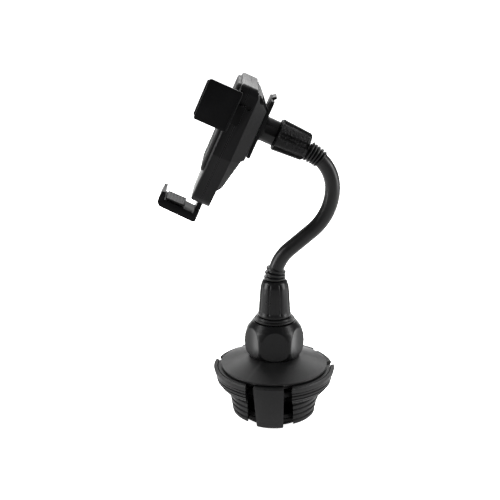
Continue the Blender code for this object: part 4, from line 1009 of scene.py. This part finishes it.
def make_pad():
    """The long rubber pad on the cradle's front, with level grooves."""
    half, low, high = 0.0225, -0.0360, 0.0222
    outline = rounded([(-half, low), (half, low), (half, high), (-half, high)], 0.0040, steps=8)
    pad = prism("phone_rest_pad", outline, BODY_FRONT - PAD_DEPTH, BODY_FRONT, RUBBER, HEAD)
    soften_between(pad, PAD_BEVEL, BODY_FRONT - PAD_DEPTH - 0.0008, BODY_FRONT - PAD_DEPTH + 0.0012)
    grooves = [
        block(
            "groove", (-0.0190, BODY_FRONT - 0.0030, low + 0.0060 + n * 0.0068),
            (0.0190, BODY_FRONT - 0.0018, low + 0.0068 + n * 0.0068), RUBBER, HEAD, 0.0002, 2,
        )
        for n in range(8)
    ]
    cut(pad, *grooves)
    place(pad, "head", "front_pad")


def make_screws():
    """Pan heads with a cross recess behind the cradle, each with its shank."""
    back = BODY_REAR - 0.0027
    for n, (x, z) in enumerate(SHELL_SCREWS):
        screw = lathe(
            f"shell_screw_head_{n + 1}",
            rounded([
                (0, -0.0065), (0.0007, -0.0065), (0.0010, -0.0060), (0.0010, 0), (0.0022, 0),
                (0.0022, 0.0007), (0.0017, 0.0014), (0, 0.0015),
            ], 0.0003, closed=False, steps=3),
            STEEL, HEAD @ Matrix.Translation((x, back, z)) @ ALONG_Y, 40,
        )
        turn = HEAD @ Matrix.Translation((x, back, z)) @ Matrix.Rotation(math.radians(20 + 31 * n), 4, "Y")
        cut(
            screw,
            block("bar", (-0.0012, 0.0008, -0.0002), (0.0012, 0.0030, 0.0002), STEEL, turn, 0.0001, 1),
            block("bar", (-0.0002, 0.0008, -0.0012), (0.0002, 0.0030, 0.0012), STEEL, turn, 0.0001, 1),
        )
        place(screw, "head", f"shell_screw_{n + 1}")


# ---- arms --------------------------------------------------------------------------------------
ARM_INNER = 0.0348
ARM_OUTER = 0.0372
ARM_FRONT = -0.0408
ARM_REAR = -0.0195
ARM_LOW = -0.0058
ARM_HIGH = 0.0197
ARM_STAGGER = -0.0105             # how much lower the left arm's plate sits
LEG_FRONT = -0.0178
LEG_REAR = -0.0148
LEG_HIGH = 0.0120
PINION_HEIGHT = 0.0060
PINION_TEETH = 9
PINION_PITCH_RADIUS = 0.0036
TOOTH_HALF_HEIGHT = 0.0007
TOOTH_ROOT = 0.0011
TOOTH_TIP = 0.0005
RACK_REACH = 0.0120               # the last tooth's greatest distance from the pinion


def rack_outline(side):
    """An arm's leg in front view: a wide bar, then a toothed finger that reaches past the pinion."""
    pitch = math.tau * PINION_PITCH_RADIUS / PINION_TEETH
    root = PINION_PITCH_RADIUS + TOOTH_HALF_HEIGHT + 0.0002
    crest = PINION_PITCH_RADIUS - TOOTH_HALF_HEIGHT + 0.0002
    shift = 0.5 if side > 0 else 0.0
    high = LEG_HIGH - PINION_HEIGHT
    places = [(n + shift) * pitch * side for n in range(-5, 6)]
    points = [(-0.0137, high), (-0.0137, root)]
    for x in sorted(x for x in places if abs(x) <= RACK_REACH):
        points += [
            (x - TOOTH_ROOT / 2, root), (x - TOOTH_TIP / 2, crest), (x + TOOTH_TIP / 2, crest),
            (x + TOOTH_ROOT / 2, root),
        ]
    points += [(0.0140, root), (0.0140, -PINION_HEIGHT), (0.0360, -PINION_HEIGHT), (0.0360, high)]
    return [(side * x, PINION_HEIGHT + side * z) for x, z in points]


def make_arms():
    """Side plates with a raised rear strip, racked legs, and ribbed rubber grips inside."""
    for name, side, drop in (("right", 1, 0.0), ("left", -1, ARM_STAGGER)):
        low = ARM_LOW + drop
        high = ARM_HIGH + drop
        view = rounded([
            (ARM_FRONT, low), (ARM_REAR, low), (ARM_REAR, high), (ARM_FRONT, high),
        ], 0.0014, steps=6)
        x = sorted((side * ARM_INNER, side * (ARM_OUTER - 0.0003)))
        arm = prism(f"arm_{name}_plate", view, x[0], x[1], SATIN, HEAD, "YZ", 0.0006, 3)
        strip = rounded([
            (ARM_REAR - 0.0016, low + 0.0014), (ARM_REAR - 0.0004, low + 0.0014),
            (ARM_REAR - 0.0004, high - 0.0014), (ARM_REAR - 0.0016, high - 0.0014),
        ], 0.0006, steps=3)
        ridge = sorted((side * (ARM_INNER + 0.001), side * ARM_OUTER))
        root = sorted((side * ARM_INNER, side * (ARM_INNER + 0.0012)))
        join(
            arm,
            prism("strip", strip, ridge[0], ridge[1], SATIN, HEAD, "YZ", 0.0002, 2),
            block("root", (root[0], ARM_REAR - 0.002, 0.0), (root[1], LEG_REAR, LEG_HIGH), SATIN, HEAD),
            prism("leg", rack_outline(side), LEG_FRONT, LEG_REAR, SATIN, HEAD, "XZ"),
        )
        place(arm, f"arm_{name}", f"{name}_arm")
        make_grip(name, side, low, high)


def make_grip(name, side, low, high):
    """The rubber grip on an arm's inner side, with ribs across it."""
    x = sorted((side * (ARM_INNER - GAP), side * (ARM_INNER - 0.0018)))
    view = rounded([
        (ARM_FRONT + 0.0022, low + 0.0022), (BODY_FRONT - 0.0020, low + 0.0022),
        (BODY_FRONT - 0.0020, high - 0.0022), (ARM_FRONT + 0.0022, high - 0.0022),
    ], 0.0012, steps=4)
    grip = prism(f"arm_{name}_grip", view, x[0], x[1], RUBBER, HEAD, "YZ", 0.0004, 2)
    count = 8
    pitch = (high - low - 0.0064) / count
    inward = sorted((side * (ARM_INNER - 0.0014), side * (ARM_INNER - 0.0030)))
    grooves = [
        block(
            "groove", (inward[0], ARM_FRONT + 0.0010, low + 0.0036 + n * pitch),
            (inward[1], BODY_FRONT - 0.0010, low + 0.0036 + (n + 0.35) * pitch), RUBBER, HEAD, 0.0001, 1,
        )
        for n in range(count)
    ]
    cut(grip, *grooves)
    place(grip, f"arm_{name}", f"{name}_arm_pad")


# ---- phone foot and button ---------------------------------------------------------------------
def make_phone_foot():
    """The sliding foot: a rail, a shelf and a hooked nose in one, with a rubber cushion."""
    shelf, hook, base = -0.0654, -0.0603, -0.0709
    view = rounded([
        (-0.0136, -0.0360), (-0.0168, -0.0360), (-0.0168, shelf - 0.0004), (-0.0225, shelf),
        (-0.0370, shelf + 0.0006), (-0.0380, hook + 0.0008), (-0.0388, hook), (-0.0399, hook + 0.0002),
        (-0.0405, hook - 0.0050), (-0.0402, -0.0680), (-0.0385, -0.0698), (-0.0355, -0.0702),
        (-0.0150, base), (-0.0136, base + 0.0008),
    ], 0.0006, steps=4)
    foot = prism("sliding_foot", view, -0.0110, 0.0110, SATIN, HEAD, "YZ", 0.0007, 3, 60)
    shoulders = []
    for side in (-1, 1):
        x = sorted((side * 0.0090, side * 0.02))
        shoulders.append(block("shoulder", (x[0], -0.0300, -0.0638), (x[1], 0, -0.02), SATIN, HEAD, 0.0004))
    cut(foot, *shoulders)
    place(foot, "phone_foot", "phone_foot")
    cushion = block(
        "foot_grip", (-0.0095, -0.0360, shelf + 0.0009), (0.0095, -0.0235, shelf + 0.0021),
        RUBBER, HEAD, 0.0004,
    )
    grooves = [
        block(
            "groove", (-0.0080, -0.0345 + n * 0.0022, shelf + 0.0017),
            (0.0080, -0.0337 + n * 0.0022, shelf + 0.0030), RUBBER, HEAD, 0.0002, 2,
        )
        for n in range(5)
    ]
    cut(cushion, *grooves)
    place(cushion, "phone_foot", "foot_cushion")


def make_button():
    """The release button, with a dished face."""
    button = lathe(
        "dished_release_button",
        rounded([
            (0, -0.0070), (0.0035, -0.0070), (0.0034, -0.0036), (0.0030, -0.0034), (0.0022, -0.0037),
            (0.0010, -0.0040), (0, -0.0041),
        ], 0.0004, closed=False, steps=4),
        MATTE, HEAD @ Matrix.Translation((0, 0, BUTTON_HEIGHT)) @ ALONG_Y, 64,
    )
    place(button, "button", "release_button")


# ---- CAD nodes that stay -----------------------------------------------------------------------
def dress_kept_nodes():
    """The inner pieces keep their CAD shape, with smooth shading and their own finish."""
    slots = {entry["node"]: entry["material_slot"] for entry in frame["record"]["subparts"]}
    finish = {
        "matte_black": MATTE, "satin_black": SATIN, "rubber": RUBBER, "steel": STEEL, "acetal": ACETAL,
    }
    for name, kept in frame["nodes"].items():
        if kept.hide_render:
            continue
        kept.data.materials.clear()
        kept.data.materials.append(finish[slots[name]])
        smooth(kept.data, math.radians(32))


# ---- stage -------------------------------------------------------------------------------------
WHITE = (1, 1, 1, 1)
WORLD_STRENGTH = 0.6
FLOOR_GLOW = 0.8
FLOOR_HALF_SIZE = 20.0
CAMERA_PLACE = (0.600, -0.0162, 0.302)
CAMERA_PITCH = math.radians(17.3)  # downward, looking along -X
CAMERA_LENS = 69.7


def area_light(name, position, target, size, power):
    data = bpy.data.lights.new(name, "AREA")
    data.shape = "RECTANGLE"
    data.size = size[0]
    data.size_y = size[1]
    data.energy = power
    light = bpy.data.objects.new(name, data)
    bpy.context.scene.collection.objects.link(light)
    light.visible_camera = False
    light.location = position
    light.rotation_euler = (Vector(target) - Vector(position)).to_track_quat("-Z", "Y").to_euler()


def make_stage():
    scene = bpy.context.scene
    scene.view_settings.view_transform = "Standard"
    world = bpy.data.worlds.new("studio")
    world.use_nodes = True
    world.node_tree.nodes["Background"].inputs["Color"].default_value = WHITE
    world.node_tree.nodes["Background"].inputs["Strength"].default_value = WORLD_STRENGTH
    scene.world = world
    far = FLOOR_HALF_SIZE
    corners = [(-far, -far, 0), (far, -far, 0), (far, far, 0), (-far, far, 0)]
    floor = from_faces("studio_floor", corners, [(0, 1, 2, 3)], floor_material())
    floor.location.z = CAD_LOW.z - 0.0002
    middle = (CAD_LOW + CAD_HIGH) / 2
    area_light("overhead_softbox", (-0.30, 0.0, 1.10), middle, (0.8, 0.8), 8.0)
    area_light("rear_softbox", (-1.10, 0.0, 0.75), middle, (1.4, 0.6), 15.0)
    for name, side in (("front_strip", -1), ("back_strip", 1)):
        area_light(name, (0.15, 0.90 * side, 0.35), middle, (0.30, 0.80), 22.0)


def floor_material():
    made = bpy.data.materials.new("white_floor")
    made.use_nodes = True
    tree = made.node_tree
    shader = tree.nodes["Principled BSDF"]
    shader.inputs["Base Color"].default_value = (0.9, 0.9, 0.9, 1)
    shader.inputs["Roughness"].default_value = 0.9
    shader.inputs["Specular IOR Level"].default_value = 0.0
    shader.inputs["Emission Color"].default_value = WHITE
    shader.inputs["Emission Strength"].default_value = FLOOR_GLOW
    return made


def make_camera():
    data = bpy.data.cameras.new("camera")
    data.lens = CAMERA_LENS
    data.sensor_width = 36.0
    data.clip_end = 60.0
    camera = bpy.data.objects.new("camera", data)
    bpy.context.scene.collection.objects.link(camera)
    camera.location = CAMERA_PLACE
    camera.rotation_euler = (math.radians(90) - CAMERA_PITCH, 0, math.radians(90))
    bpy.context.scene.camera = camera


make_foot()
make_core()
make_disc()
make_wings()
make_knob()
make_ferrule()
make_neck()
make_joint()
make_plate()
make_cradle()
make_screws()
make_arms()
make_phone_foot()
make_button()
dress_kept_nodes()
make_stage()
make_camera()
